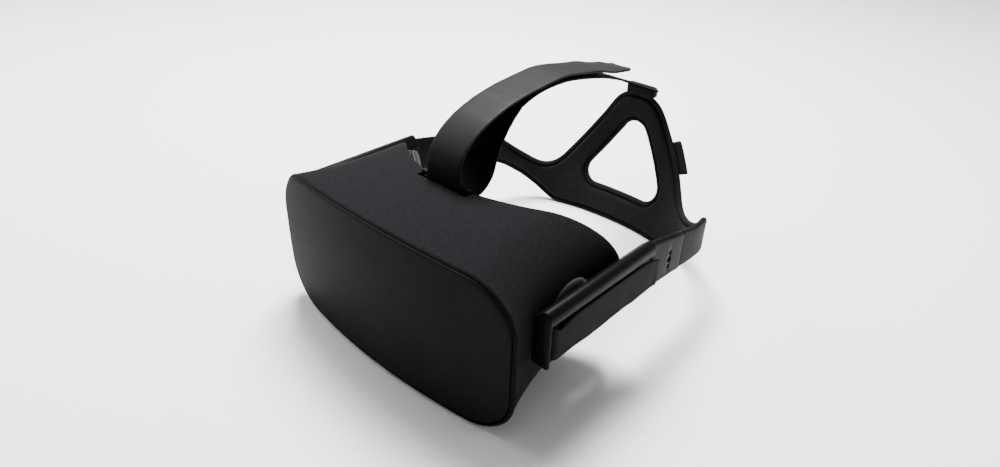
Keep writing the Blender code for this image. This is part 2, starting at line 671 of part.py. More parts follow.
def make_pivot(side, name):
    """A turned stub: a flange inside the shell, a neck through it, and the dome that the arm turns on."""
    profile = [(86.0, 3.6), (84.3, 3.8), (84.3, 9.4), (83.6, 12.2), (82.0, 14.2)]
    profile += [(82.0, 6.4), (74.6, 6.4), (74.6, 9.0), (72.8, 9.0)]
    turns = [2 * math.pi * k / 20 for k in range(20)]
    loops = []
    for x, radius in profile:
        ring = [(PIVOT_AT + radius * math.cos(a), PIVOT_HIGH + radius * math.sin(a)) for a in turns]
        loops.append([(side * x, y, z) for y, z in ring])
    add_part(f"pivot_{name}", loft_mesh("pivot", loops), "arm_plastic")


# ---------------------------------------------------------------- arms
def make_arm_housing(side, name):
    """The long housing: rounded flange on top, strap recess outside, channel for the sliding parts inside."""
    section = [(ARM_IN, ARM_LOW), (ARM_OUT, ARM_LOW), (ARM_OUT, ARM_HIGH), (ARM_IN + ARM_CHAMFER, ARM_HIGH)]
    section += [(ARM_IN, ARM_HIGH - ARM_CHAMFER)]
    ends = [[(side * x, y, z) for x, z in section] for y in (ARM_FRONT, ARM_END)]
    arm = add_part(f"arm_housing_{name}", loft_mesh("housing", ends), "arm_plastic", "arms")
    bevel(arm, 2.0, 3, 30.0)
    cuts = {
        "channel": ((ARM_IN - 2.0, ARM_FRONT + 4.0, CHANNEL_LOW), (ARM_WALL, ARM_END + 2.0, CHANNEL_HIGH)),
        "recess": ((ARM_SKIN, ARM_FRONT + 2.4, ARM_LOW - 2.0), (ARM_OUT + 2.0, ARM_END + 2.0, ARM_FLANGE)),
        "window": ((ARM_WALL - 1.0, 31.4, 40.9), (ARM_SKIN + 1.0, 43.5, 62.0)),
    }
    for label, (a, b) in cuts.items():
        boolean(arm, add_cutter(f"{label}_{name}", box_mesh(label, *mirrored(side, a, b))))
    bar = rod_mesh("strap_bar", (side * BAR_X, BAR_AT, 41.3), (side * BAR_X, BAR_AT, 61.7), BAR_R, 12)
    add_part(f"strap_bar_{name}", bar, "steel", "arms")


def make_arm_cover(side, name):
    """The plate that closes the housing on the side of the head, with the hole that turns on the pivot."""
    near_corner = (ARM_IN, ARM_FRONT + 4.3, CHANNEL_LOW + GAP)
    far_corner = (ARM_IN + 1.2, ARM_END - GAP, CHANNEL_HIGH - GAP)
    low, high = mirrored(side, near_corner, far_corner)
    cover = add_part(f"arm_cover_{name}", box_mesh("cover", low, high), "dark_plastic", "arms")
    hole = rod_mesh("hole", (side * 80, PIVOT_AT, PIVOT_HIGH), (side * 90, PIVOT_AT, PIVOT_HIGH), 4.2, 20)
    boolean(cover, add_cutter(f"cover_hole_{name}", hole))
    screw_hole = rod_mesh("hole", (side * 80, 106, 55), (side * 90, 106, 55), 2.0, 12)
    boolean(cover, add_cutter(f"cover_screw_hole_{name}", screw_hole))
    screw = rod_mesh("arm_screw", (side * 84.9, 106, 55), (side * 86.0, 106, 55), 1.6, 12)
    add_part(f"arm_screw_{name}", screw, "steel", "arms")


def make_side_strap(side, name):
    """The hook-and-loop strap: out through the window, round the bar and back along the outer face."""
    radius = BAR_R + GAP + FLAP_THICK / 2
    turn = [math.radians(a) for a in range(0, -181, -30)]
    path = [(BAR_X + radius, y) for y in (FLAP_END, 100.0, 80.0, 58.0)]
    path += [(BAR_X + radius * math.cos(a), BAR_AT + radius * math.sin(a)) for a in turn]
    path += [(BAR_X - radius, 43.0)]
    path = [(side * x, y) for x, y in path]

    def top(along):
        return FLAP_HIGH - 4.6 * max(0.0, 1.0 - along / 0.3)

    strap = ribbon_mesh("side_strap", path, FLAP_THICK, FLAP_LOW, top, upright=True)
    add_part(f"side_strap_{name}", strap, "hook_strap", "arms")


def make_carriage(side, name):
    """The plate that the side strap pulls on, with a post for the spring."""
    low, high = mirrored(side, (86.4, 40.0, 43.0), (87.8, 66.0, 57.6))
    carriage = add_part(f"strap_carriage_{name}", box_mesh("carriage", low, high), "steel", "carriage")
    low, high = mirrored(side, (86.4, 44.0, 55.6), (89.9, 46.4, 63.4))
    boolean(carriage, add_cutter(f"carriage_post_{name}", box_mesh("post", low, high)), "UNION")


def make_arm_spring(side, name):
    """The tension spring between the carriage's post and the rear arm's finger."""
    turns, steps, radius = 6, 5, 1.35
    start, end = 46.8, 72.0
    curve = bpy.data.curves.new(f"arm_spring_{name}", "CURVE")
    curve.dimensions = "3D"
    curve.bevel_depth = 0.35
    curve.bevel_resolution = 0
    curve.use_fill_caps = True
    spline = curve.splines.new("POLY")
    count = turns * steps + 1
    spline.points.add(count - 1)
    for k, point in enumerate(spline.points):
        angle = 2 * math.pi * k / steps
        y = start + 0.4 + (end - start - 0.8) * k / (count - 1)
        point.co = (side * 88.2 + radius * math.cos(angle), y, 60.9 + radius * math.sin(angle), 1.0)
    coil = bpy.data.objects.new("coil", curve)
    CUTTERS.objects.link(coil)
    bpy.context.view_layer.update()
    mesh = bpy.data.meshes.new_from_object(coil.evaluated_get(bpy.context.evaluated_depsgraph_get()))
    bpy.data.objects.remove(coil)
    bm = bmesh.new()
    bm.from_mesh(mesh)
    bmesh.ops.remove_doubles(bm, verts=bm.verts, dist=1e-4)
    add_part(f"arm_spring_{name}", finish_mesh("spring", bm), "steel", "carriage")


# ---------------------------------------------------------------- rear band and cradle
def band_plan():
    """The inner face of the rear band seen from above, from the middle of the back to the arm."""
    route = [(0, 221.4), (14, 220.9), (28, 219.2), (42, 215.8), (55, 210.3), (66.5, 202.5), (75.5, 192.5)]
    route += [(81.6, 181), (84.4, 169), (85.7, 156), (86.2, 143), (86.3, 132), (86.3, 120)]
    route.append((86.3, ARM_END + 0.4))
    fine = np.array(smooth_path(route, 2.0))
    steps = np.hypot(*np.diff(fine, axis=0).T)
    return np.concatenate([[0.0], np.cumsum(steps)]), fine[:, 0], fine[:, 1]


PLAN_U, PLAN_X, PLAN_Y = band_plan()
BAND_END = float(PLAN_U[-1])


def plan_distance(y):
    """How far along the band a given y is, counted on its straight and curved side stretch."""
    side = PLAN_U > 60.0
    return float(np.interp(-y, -PLAN_Y[side], PLAN_U[side]))


def band_point(u, z, t):
    """A point at distance u round the band, at height z, t outwards from the face nearest the head."""
    side = -1.0 if u < 0 else 1.0
    u = abs(u)
    x, y = np.interp(u, PLAN_U, PLAN_X), np.interp(u, PLAN_U, PLAN_Y)
    step = 0.5
    ahead = min(u + step, BAND_END)
    behind = u - step
    ax, ay = np.interp(ahead, PLAN_U, PLAN_X), np.interp(ahead, PLAN_U, PLAN_Y)
    bx = math.copysign(np.interp(abs(behind), PLAN_U, PLAN_X), behind)
    by = np.interp(abs(behind), PLAN_U, PLAN_Y)
    length = math.hypot(ax - bx, ay - by)
    nx, ny = -(ay - by) / length, (ax - bx) / length
    fade = min(1.0, max(0.0, (88.0 - u) / 46.0))
    fade = fade * fade * (3 - 2 * fade)
    lean = 0.35 * (z - 15.0) if z < 15.0 else 0.62 * (z - 15.0) - 0.0042 * (z * z - 225.0)
    return side * (x + nx * t) - CRADLE_SWAY * fade, y + lean * fade + ny * t, z


def arc(centre, radius, first, last, steps):
    angles = [math.radians(first + (last - first) * k / steps) for k in range(steps + 1)]
    return [(centre[0] + radius * math.cos(a), centre[1] + radius * math.sin(a)) for a in angles]


def band_top(u):
    """Height of the wing's upper edge beyond the triangle."""
    along = [60, 70, 80, 90, 99, 118, 140, 172]
    return float(np.interp(u, along, [27.5, 31, 38.5, 47, 53.6, 57.0, 62.6, 69.2]))


def band_bottom(u):
    """Height of the band's lower edge."""
    along = [0, 42, 52, 66, 80, 92, 104, 118, 140, 172]
    return float(np.interp(u, along, [0, 0, 2.4, 10.6, 20.4, 28, 31.8, 34.6, 38, 39.8]))


def cradle_outline(inset, end):
    """Half of the cradle's (u, z) outline from the bottom middle round to the top middle."""
    lower = [(u, band_bottom(u) + inset) for u in (0, 21, 42, 47, 52, 59, 66, 73, 80, 86, 92, 98, 104, 111)]
    lower = [p for p in lower if p[0] < end - 2] + [(end, band_bottom(end) + inset)]
    upper = [(end, band_top(end) - inset)]
    upper += [(u, band_top(u) - inset) for u in (118, 110, 104, 99, 94, 88, 82, 76, 71) if u < end - 2]
    fillet = [(66, 28.9), (61.5, 27.6), (57, 28.0), (53, 30.2), (49.6, 34.0)]
    upper += [(u - 0.4 * inset, z - inset) for u, z in fillet]
    side = [(46.0, 39.4), (36.0, 55.2), (26.0, 71.0), (19.2, 82.0), (14.6, 87.2), (8.0, 91.0)]
    upper += [(u - 0.85 * inset, z - 0.53 * inset) for u, z in side]
    return lower + upper + [(0, CRADLE_TOP - inset)]


def cradle_hole(inset):
    """The rounded triangle in the middle, made smaller by inset."""
    slant = math.degrees(math.atan(HOLE_SLOPE))
    top_r, base_r = 9.0 - inset, 9.0 - inset
    base = HOLE_BASE + inset
    apex = HOLE_BASE + HOLE_VERTEX / HOLE_SLOPE - inset / math.sin(math.radians(slant))
    top = arc((0, apex - top_r / math.sin(math.radians(slant))), top_r, slant, 180 - slant, 6)
    half = (apex - base) * HOLE_SLOPE
    reach = half - base_r / math.tan(math.radians((90 - slant) / 2))
    left = arc((-reach, base + base_r), base_r, 180 - slant, 270, 6)
    right = [(-u, z) for u, z in reversed(left)]
    return top + left + right


def mirror_outline(half):
    """Both sides of a (u, z) outline that starts and ends on the middle line."""
    return half + [(-u, z) for u, z in reversed(half[1:-1])]


def make_cradle():
    seam = plan_distance(ARM_SEAM) - GAP

    def shell_place(bm):
        middle = PAD_THICK + PAD_GAP + CRADLE_SHELL / 2
        return bend(bm, "cradle_shell", lambda u, v, t: band_point(u, v, t + middle), 11.0, 23.0)

    def pad_place(bm):
        return bend(bm, "cradle_pad", lambda u, v, t: band_point(u, v, t + PAD_THICK / 2), 11.0, 23.0)

    shell = plate_mesh("cradle_shell", [mirror_outline(cradle_outline(0.0, seam)), cradle_hole(0.0)],
                       CRADLE_SHELL / 2, shell_place)
    add_part("cradle_shell", shell, "rubber", "cradle", 50.0)
    pad = plate_mesh("cradle_pad", [mirror_outline(cradle_outline(1.6, seam - 8.0)), cradle_hole(-1.6)],
                     PAD_THICK / 2, pad_place)
    add_part("cradle_pad", pad, "pad_fabric", "cradle", 50.0)


def make_rear_arm(side, name):
    """The sliding rear arm: flat blade with three holes, and the tongue and finger inside the housing."""
    first, last = plan_distance(ARM_SEAM) + GAP, BAND_END
    stops = [first + (last - first) * k / 4 for k in range(5)]
    outline = [(u, band_bottom(u)) for u in stops] + [(u, band_top(u)) for u in reversed(stops)]

    def place(bm):
        def point(u, v, t):
            drop = 2.4 if t < 0 and v > 50 else 0.0
            x, y, z = band_point(u, v - drop, t + 2.55)
            return side * x, y, z

        return bend(bm, "rear_arm", point, 9.0, 100.0)

    tapered = plate_mesh("rear_arm", [outline], 2.55, place)
    blade = add_part(f"rear_arm_{name}", tapered, "arm_plastic", "cradle")
    low, high = mirrored(side, (88.4, 66.8, 43.0), (90.1, ARM_END + 3.0, 57.6))
    boolean(blade, add_cutter(f"tongue_{name}", box_mesh("tongue", low, high)), "UNION")
    low, high = mirrored(side, (86.5, 72.4, 58.6), (90.1, ARM_END + 3.0, 63.4))
    boolean(blade, add_cutter(f"finger_{name}", box_mesh("finger", low, high)), "UNION")
    low, high = mirrored(side, (84.0, HOLE_AT - 6.0, 42.5), (89.9, HOLE_AT + 6.0, 57.1))
    boolean(blade, add_cutter(f"contact_pocket_{name}", box_mesh("pocket", low, high)))
    holes = ((-1, HOLE_SMALL), (0, HOLE_LARGE), (1, HOLE_SMALL))
    for step, radius in holes:
        z = HOLE_MID + step * HOLE_PITCH
        hole = rod_mesh("hole", (side * 85, HOLE_AT, z), (side * 95, HOLE_AT, z), radius, 16)
        boolean(blade, add_cutter(f"audio_hole_{name}_{step}", hole))


def make_audio_contacts(side, name):
    """The insert behind the three holes: two spring contacts and the threaded bush between them."""
    low, high = mirrored(side, (86.6, HOLE_AT - 5.7, 42.8), (89.2, HOLE_AT + 5.7, 56.8))
    insert = add_part(f"audio_contacts_{name}", box_mesh("contacts", low, high), "brass", "cradle")
    for step, radius in ((-1, 0.9), (1, 0.9)):
        z = HOLE_MID + step * HOLE_PITCH
        pin = rod_mesh("pin", (side * 88, HOLE_AT, z), (side * 90.4, HOLE_AT, z), radius, 10)
        boolean(insert, add_cutter(f"contact_pin_{name}_{step}", pin), "UNION")
    thread = rod_mesh("thread", (side * 87.4, HOLE_AT, HOLE_MID), (side * 93, HOLE_AT, HOLE_MID), 1.2, 12)
    boolean(insert, add_cutter(f"contact_thread_{name}", thread))


def make_cable_loop():
    """The flat fabric loop on the wearer's left band that the lead is held by."""
    low, high = 46.0, 64.0
    base = PAD_THICK + PAD_GAP + CRADLE_SHELL + 0.8
    rows = []
    for z in (low, high):
        u = 37.2 - 0.607 * (z - 50.0)
        corners = ((u - 1.0, base), (u + 1.2, base), (u + 2.6, base + 6.0), (u + 0.4, base + 6.0))
        rows.append([band_point(along, z, out) for along, out in corners])
    add_part("cable_loop", loft_mesh("cable_loop", rows), "hook_strap", "cradle")


def make_top_straps():
    """One band, split where its two layers overlap: the front piece loops round the bracket's bar."""
    outer = [(211.0, 115.4), (200.0, 118.7), (189.0, 120.4), (169.0, 125.2), (154.0, 127.6), (134.5, 130.3)]
    outer += [(120.0, 129.7), (101.0, 127.7), (86.5, 124.8), (72.0, 119.8), (61.5, 113.6), (55.2, 106.4)]
    outer += [(52.9, 99.5), (52.4, 93.0), (52.3, 89.4)]
    under = [(53.2, 87.4), (55.2, 86.7), (57.6, 86.2), (60.6, 84.2), (64.8, 82.6), (69.6, 83.6), (74.0, 86.9)]
    under += [(77.4, 91.8), (79.9, 99.4), (83.6, 106.8), (89.8, 115.2), (96.6, 121.6)]
    path = smooth_path(outer + under, 9.0)

    def near_edge(along):
        return STRAP_NEAR - 9.0 * max(0.0, 1.0 - along / 0.07)

    front = ribbon_mesh("top_strap_front", path, STRAP_THICK, STRAP_FAR, near_edge, upright=False)
    add_part("top_strap_front", front, "strap_leather", "arms", 60.0)

    inner = [(98.4, 123.0), (109.0, 126.2), (120.4, 127.6), (135.0, 127.6), (151.0, 125.4), (168.0, 121.9)]
    inner += [(183.0, 117.6), (194.5, 113.6), (206.0, 109.0), (219.0, 103.6), (230.0, 99.2), (236.0, 96.4)]
    inner_path = smooth_path(inner, 8.0)
    rear = ribbon_mesh("top_strap_rear", inner_path, STRAP_THICK, STRAP_FAR, STRAP_NEAR, upright=False)
    add_part("top_strap_rear", rear, "strap_leather", "cradle", 60.0)


def make_strap_clip():
    """The folded patch that joins the top strap to the cradle's peak."""
    section = [(233.4, 92.5), (239.8, 92.5), (239.8, 95.6), (238.8, 97.8), (237.2, 98.4)]
    section += [(236.9, 95.0), (233.4, 96.6)]
    rows = [[(x, y, z) for y, z in section] for x in (STRAP_FAR, STRAP_NEAR)]
    add_part("strap_clip", loft_mesh("strap_clip", rows), "strap_leather", "cradle")


# ---------------------------------------------------------------- the whole headset
def build():
    make_front_plate()
    make_seam_gasket()
    make_tracking_frame()
    make_body_shell()
    make_fabric_shroud()
    make_chassis()
    make_electronics()
    make_rails()
    make_spacing_drive()
    make_spacing_slider()
    make_lens_liner()
    make_cable_socket()
    make_face_interface()
    make_strap_bracket()
    for side, name in ((1, "left"), (-1, "right")):
        make_optics(side, name)
        make_pivot(side, name)
        make_arm_housing(side, name)
        make_arm_cover(side, name)
        make_side_strap(side, name)
        make_carriage(side, name)
        make_arm_spring(side, name)
        make_rear_arm(side, name)
        make_audio_contacts(side, name)
    make_cradle()
    make_cable_loop()
    make_top_straps()
    make_strap_clip()


clear_scene()
PARTS = new_collection("vr_headset")
CUTTERS = new_collection("cutters")
MATERIALS = {name: new_finish(name, *values) for name, values in FINISHES.items()}
ROOT = new_empty("headset_origin", (0.0, -CENTRE_Y, 0.0))
EMPTIES = {name: new_empty(f"axis_{name}", place, ROOT) for name, place in JOINT_AT.items()}
build()
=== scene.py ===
"""VR headset: the visible model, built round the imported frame.

The builders work in millimetres in the headset's own coordinates: +X is the wearer's left, -Y the front,
+Z up, and y is counted from the middle of the front plate's face. Meshes become metres when they are made.
"""

import math

import bmesh
import bpy
import numpy as np
from mathutils import Matrix, Vector, geometry


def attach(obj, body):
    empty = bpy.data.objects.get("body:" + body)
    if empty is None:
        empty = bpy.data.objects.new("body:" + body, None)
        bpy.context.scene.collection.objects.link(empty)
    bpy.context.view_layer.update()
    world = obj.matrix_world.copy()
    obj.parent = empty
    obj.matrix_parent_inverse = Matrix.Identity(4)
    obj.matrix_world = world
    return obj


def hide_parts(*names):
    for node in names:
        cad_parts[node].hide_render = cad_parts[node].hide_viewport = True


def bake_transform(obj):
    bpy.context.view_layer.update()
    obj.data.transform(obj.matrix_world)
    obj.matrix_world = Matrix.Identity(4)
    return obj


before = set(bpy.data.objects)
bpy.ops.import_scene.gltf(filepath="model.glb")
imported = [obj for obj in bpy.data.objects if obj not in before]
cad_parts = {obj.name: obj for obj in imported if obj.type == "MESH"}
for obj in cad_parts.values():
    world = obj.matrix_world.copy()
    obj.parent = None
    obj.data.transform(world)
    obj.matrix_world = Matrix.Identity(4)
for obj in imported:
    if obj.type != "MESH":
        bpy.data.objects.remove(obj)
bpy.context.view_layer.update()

# ---------------------------------------------------------------- dimensions
MM = 0.001
CENTRE_Y = 122.0
HEAD_MIDDLE = (0.0, 0.030, 0.060)  # in the row's frame, in metres
SIDES = ((1, "left"), (-1, "right"))

PLATE_HALF, PLATE_LOW, PLATE_HIGH, PLATE_CORNER = 86.0, 1.8, 83.0, 24.0
PLATE_CROWN, PLATE_SAG, PLATE_MID, PLATE_THICK = 5.2, 2.4, 44.0, 2.2
PLATE_SWEEP, PLATE_TUCK, PLATE_EDGE = 0.0014, 0.0006, 1.1
RIM_HALF, RIM_LOW, RIM_HIGH, RIM_CORNER, RIM_SETBACK = 88.2, -1.59, 84.4, 26.5, 1.0
REAR_AT, REAR_SWEEP, REAR_RISE, REAR_LIFT = 55.5, 0.0071, 9.0, 0.2
NOSE_RISE, NOSE_HALF, FABRIC = 20.0, 16.0, 1.2
FACE_HALF, FACE_LOW, FACE_HIGH, FACE_CORNER, FACE_CROWN, FACE_NOSE = 76.6, 14.0, 81.6, 26.0, -2.5, 24.0
EYE_HALF, EYE_HIGH, LENS_R = 32.0, 45.0, 24.0

PIVOT_AT, PIVOT_HIGH = 57.0, 54.5
ARM_FRONT, ARM_END, ARM_SEAM = 27.0, 111.0, 145.0
ARM_IN, ARM_WALL, ARM_SKIN, ARM_OUT = 84.6, 90.4, 91.4, 94.2
ARM_LOW, ARM_FLANGE, ARM_HIGH = 39.5, 64.0, 70.5
BAR_AT, BAR_X, BAR_R, GAP = 34.5, 90.9, 1.1, 0.3
FLAP_THICK, FLAP_LOW, FLAP_HIGH, FLAP_END = 1.4, 41.4, 61.0, 117.0
HOLE_AT, HOLE_MID, HOLE_PITCH, HOLE_SMALL, HOLE_LARGE = 132.0, 49.8, 4.2, 1.35, 1.85

PAD_THICK, PAD_GAP, CRADLE_SHELL, CRADLE_SWAY, CRADLE_TOP = 2.2, 0.8, 1.7, 2.0, 92.0
HOLE_VERTEX, HOLE_BASE, HOLE_SLOPE = 35.5, 20.5, 0.607
RIM_WIDTH, PAD_INSET = 3.0, 3.15
STRAP_NEAR, STRAP_FAR, STRAP_THICK = 12.5, -11.3, 1.4

# Studio light: the sky's strength at the horizon and overhead, times its share on the wall's side at the
# back left and on the open side at the front right.
SKY_LOW, SKY_HIGH = 0.33, 0.7
WALL, ROOM = 1.25, 0.3

# Segments in each corner, along the top and bottom and along the sides of an outline.
FINE = (12, 26, 8)


# ---------------------------------------------------------------- mesh helpers
def to_mesh(name, bm):
    """Turns a millimetre mesh with its faces pointing out into metres in the row frame."""
    bmesh.ops.recalc_face_normals(bm, faces=bm.faces)
    if bm.calc_volume(signed=True) < 0:
        bmesh.ops.reverse_faces(bm, faces=bm.faces)
    to_row = Matrix.Scale(MM, 4) @ Matrix.Translation((0, -CENTRE_Y, 0))
    bmesh.ops.transform(bm, matrix=to_row, verts=bm.verts)
    mesh = bpy.data.meshes.new(name)
    bm.to_mesh(mesh)
    bm.free()
    return mesh


def add_object(name, mesh):
    obj = bpy.data.objects.new(name, mesh)
    bpy.context.scene.collection.objects.link(obj)
    return obj


def bake(obj):
    """Applies the object's modifiers to its mesh."""
    graph = bpy.context.evaluated_depsgraph_get()
    mesh = bpy.data.meshes.new_from_object(obj.evaluated_get(graph))
    obj.modifiers.clear()
    obj.data = mesh


def combine(obj, cutters, operation="DIFFERENCE"):
    """Cuts or joins meshes with exact Booleans and removes them."""
    tools = []
    for mesh in cutters:
        tool = add_object("tool", mesh)
        modifier = obj.modifiers.new("cut", "BOOLEAN")
        modifier.operation, modifier.object = operation, tool
        tools.append(tool)
    bake(obj)
    for tool in tools:
        bpy.data.objects.remove(tool)


def round_edges(obj, width, segments=2, angle=40.0):
    modifier = obj.modifiers.new("round", "BEVEL")
    modifier.width, modifier.segments = width * MM, segments
    modifier.limit_method, modifier.angle_limit = "ANGLE", math.radians(angle)
    modifier.use_clamp_overlap = True
    bake(obj)


def dress(obj, finish, nodes=(), body=None, sharp=40.0):
    """Gives a piece its material, hides the CAD nodes it stands for and attaches it to the body it rides on.
    """
    obj.data.materials.clear()
    obj.data.materials.append(finish)
    obj.data.shade_smooth()
    obj.data.set_sharp_from_angle(angle=math.radians(sharp))
    if nodes:
        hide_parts(*nodes)
    if body:
        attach(obj, body)
    return obj


def reverse_side(obj, finish, chosen):
    """Gives a second material to the faces that chosen(centre, normal) picks out."""
    obj.data.materials.append(finish)
    for face in obj.data.polygons:
        if chosen(face.center, face.normal):
            face.material_index = 1


def towards_head(centre, normal):
    return normal.dot(Vector(HEAD_MIDDLE) - centre) > 0


def box(low, high):
    bm = bmesh.new()
    size = [b - a for a, b in zip(low, high)]
    centre = [(a + b) / 2 for a, b in zip(low, high)]
    bmesh.ops.create_cube(bm, size=1.0, matrix=Matrix.Translation(centre) @ Matrix.Diagonal((*size, 1.0)))
    return to_mesh("box", bm)


def side_box(side, low, high):
    xs = sorted((side * low[0], side * high[0]))
    return box((xs[0], *low[1:]), (xs[1], *high[1:]))


def rod(start, end, radius, sides=32):
    bm = bmesh.new()
    start, end = Vector(start), Vector(end)
    along = end - start
    placed = Matrix.Translation((start + end) / 2) @ along.to_track_quat("Z", "Y").to_matrix().to_4x4()
    bmesh.ops.create_cone(
        bm, cap_ends=True, segments=sides, radius1=radius, radius2=radius, depth=along.length, matrix=placed
    )
    return to_mesh("rod", bm)


def loft(name, loops, ring=False):
    """Joins point loops of equal length; a ring closes on itself, anything else gets end caps."""
    bm = bmesh.new()
    rows = [[bm.verts.new(point) for point in loop] for loop in loops]
    pairs = list(zip(rows, rows[1:]))
    if ring:
        pairs.append((rows[-1], rows[0]))
    for first, second in pairs:
        count = len(first)
        for i in range(count):
            j = (i + 1) % count
            bm.faces.new((first[i], first[j], second[j], second[i]))
    if not ring:
        for row in (rows[0], rows[-1]):
            hub = bm.verts.new(sum((vert.co for vert in row), Vector()) / len(row))
            for i, vert in enumerate(row):
                bm.faces.new((vert, row[(i + 1) % len(row)], hub))
    return to_mesh(name, bm)


def smooth_path(points, spacing):
    """Points on a Catmull-Rom curve through the given ones, about one spacing apart."""
    fine = []
    padded = [points[0], *points, points[-1]]
    for p0, p1, p2, p3 in zip(padded, padded[1:], padded[2:], padded[3:]):
        p0, p1, p2, p3 = (np.array(p, float) for p in (p0, p1, p2, p3))
        steps = max(1, round(float(np.linalg.norm(p2 - p1)) / spacing))
        for k in range(steps):
            t = k / steps
            fine.append(
                0.5 * (2 * p1 + (p2 - p0) * t + (2 * p0 - 5 * p1 + 4 * p2 - p3) * t**2
                       + (3 * p1 - p0 - 3 * p2 + p3) * t**3)
            )
    fine.append(np.array(points[-1], float))
    return [tuple(float(c) for c in p) for p in fine]


def filleted(points, radii, steps=5):
    """A closed polygon with each corner rounded by its own radius."""
    rounded = []
    count = len(points)
    for i, radius in enumerate(radii):
        here, before, after = (Vector(points[k]) for k in (i, i - 1, (i + 1) % count))
        to_before, to_after = (before - here).normalized(), (after - here).normalized()
        half = to_before.angle(to_after) / 2
        reach = radius / math.tan(half)
        centre = here + (to_before + to_after).normalized() * radius / math.sin(half)
        start, end = here + to_before * reach - centre, here + to_after * reach - centre
        for k in range(steps + 1):
            turned = start.lerp(end, k / steps).normalized() * radius + centre
            rounded.append((turned.x, turned.y))
    return rounded


def strip(name, path, thick, low, high, upright, wave=None, columns=14):
    """A flat band with rounded edges along a path.

    upright bands have their path in (x, y) and their width along z; the others have their path in (y, z)
    and their width along x. low and high are functions of the position on the path from 0 to 1, and
    wave(along, across) lifts the band off its path.
    """
    points = [Vector(p) for p in path]
    loops = []
    radius = thick / 2
    for i, point in enumerate(points):
        tangent = (points[min(i + 1, len(points) - 1)] - points[max(i - 1, 0)]).normalized()
        normal = Vector((-tangent.y, tangent.x))
        along = i / (len(points) - 1)
        first, last = low(along) + radius, high(along) - radius
        section = []
        for k in range(columns + 1):
            section.append((first + (last - first) * k / columns, radius))
        for angle in (60, 20, -20, -60):
            a = math.radians(angle)
            section.append((last + radius * math.cos(a), radius * math.sin(a)))
        for k in range(columns + 1):
            section.append((last + (first - last) * k / columns, -radius))
        for angle in (240, 200, 160, 120):
            a = math.radians(angle)
            section.append((first + radius * math.cos(a), radius * math.sin(a)))
        loop = []
        for level, offset in section:
            across = (level - first) / (last - first)
            lift = wave(along, across) if wave else 0.0
            a, b = point + normal * (offset + lift)
            loop.append((a, b, level) if upright else (level, a, b))
        loops.append(loop)
    return loft(name, loops)


def bead(name, path, radius, closed=False, sides=8):
    """A round cord laid along a path of 3D points."""
    points = [Vector(p) for p in path]
    loops = []
    up = Vector((0.13, 0.31, 0.94)).normalized()
    count = len(points)
    for i, point in enumerate(points):
        ahead = points[(i + 1) % count] if closed else points[min(i + 1, count - 1)]
        behind = points[i - 1] if closed else points[max(i - 1, 0)]
        tangent = (ahead - behind).normalized()
        across = tangent.cross(up).normalized()
        other = across.cross(tangent)
        turns = [2 * math.pi * k / sides for k in range(sides)]
        loops.append([point + (across * math.cos(a) + other * math.sin(a)) * radius for a in turns])
    return loft(name, loops, ring=closed)


def join(name, meshes):
    """One mesh from several."""
    bm = bmesh.new()
    for mesh in meshes:
        bm.from_mesh(mesh)
    joined = bpy.data.meshes.new(name)
    bm.to_mesh(joined)
    bm.free()
    return joined


def signed_area(loop):
    p = np.array(loop)
    q = np.roll(p, -1, 0)
    return float(np.sum(p[:, 0] * q[:, 1] - q[:, 0] * p[:, 1])) / 2


def resampled(loop, spacing):
    """The closed loop with points one spacing apart."""
    p = np.array([*loop, loop[0]], float)
    lengths = np.concatenate([[0.0], np.cumsum(np.linalg.norm(np.diff(p, axis=0), axis=1))])
    count = max(8, round(lengths[-1] / spacing))
    at = np.linspace(0.0, lengths[-1], count, endpoint=False)
    return np.c_[np.interp(at, lengths, p[:, 0]), np.interp(at, lengths, p[:, 1])]


def moved_in(loop, distance):
    """The loop moved to its left, which is into the material."""
    along = np.roll(loop, -1, 0) - np.roll(loop, 1, 0)
    along = along / np.linalg.norm(along, axis=1)[:, None]
    return loop + np.c_[-along[:, 1], along[:, 0]] * distance


def edge_distance(points, loops):
    """Distance of each (u, v) point to the nearest loop."""
    best = np.full(len(points), 1e9)
    for loop in loops:
        start, end = loop, np.roll(loop, -1, 0)
        for a, b in zip(start, end):
            ab = b - a
            t = np.clip(((points - a) @ ab) / (ab @ ab), 0, 1)
            best = np.minimum(best, np.linalg.norm(points - (a + t[:, None] * ab), axis=1))
    return best


def inside(points, loops):
    """Whether each point is inside an odd number of loops."""
    odd = np.zeros(len(points), bool)
    for loop in loops:
        for (x0, y0), (x1, y1) in zip(loop, np.roll(loop, -1, 0)):
            crosses = (y0 > points[:, 1]) != (y1 > points[:, 1])
            where = x0 + (points[:, 1] - y0) * (x1 - x0) / (y1 - y0 if y1 != y0 else 1e-12)
            odd ^= crosses & (points[:, 0] < where)
    return odd


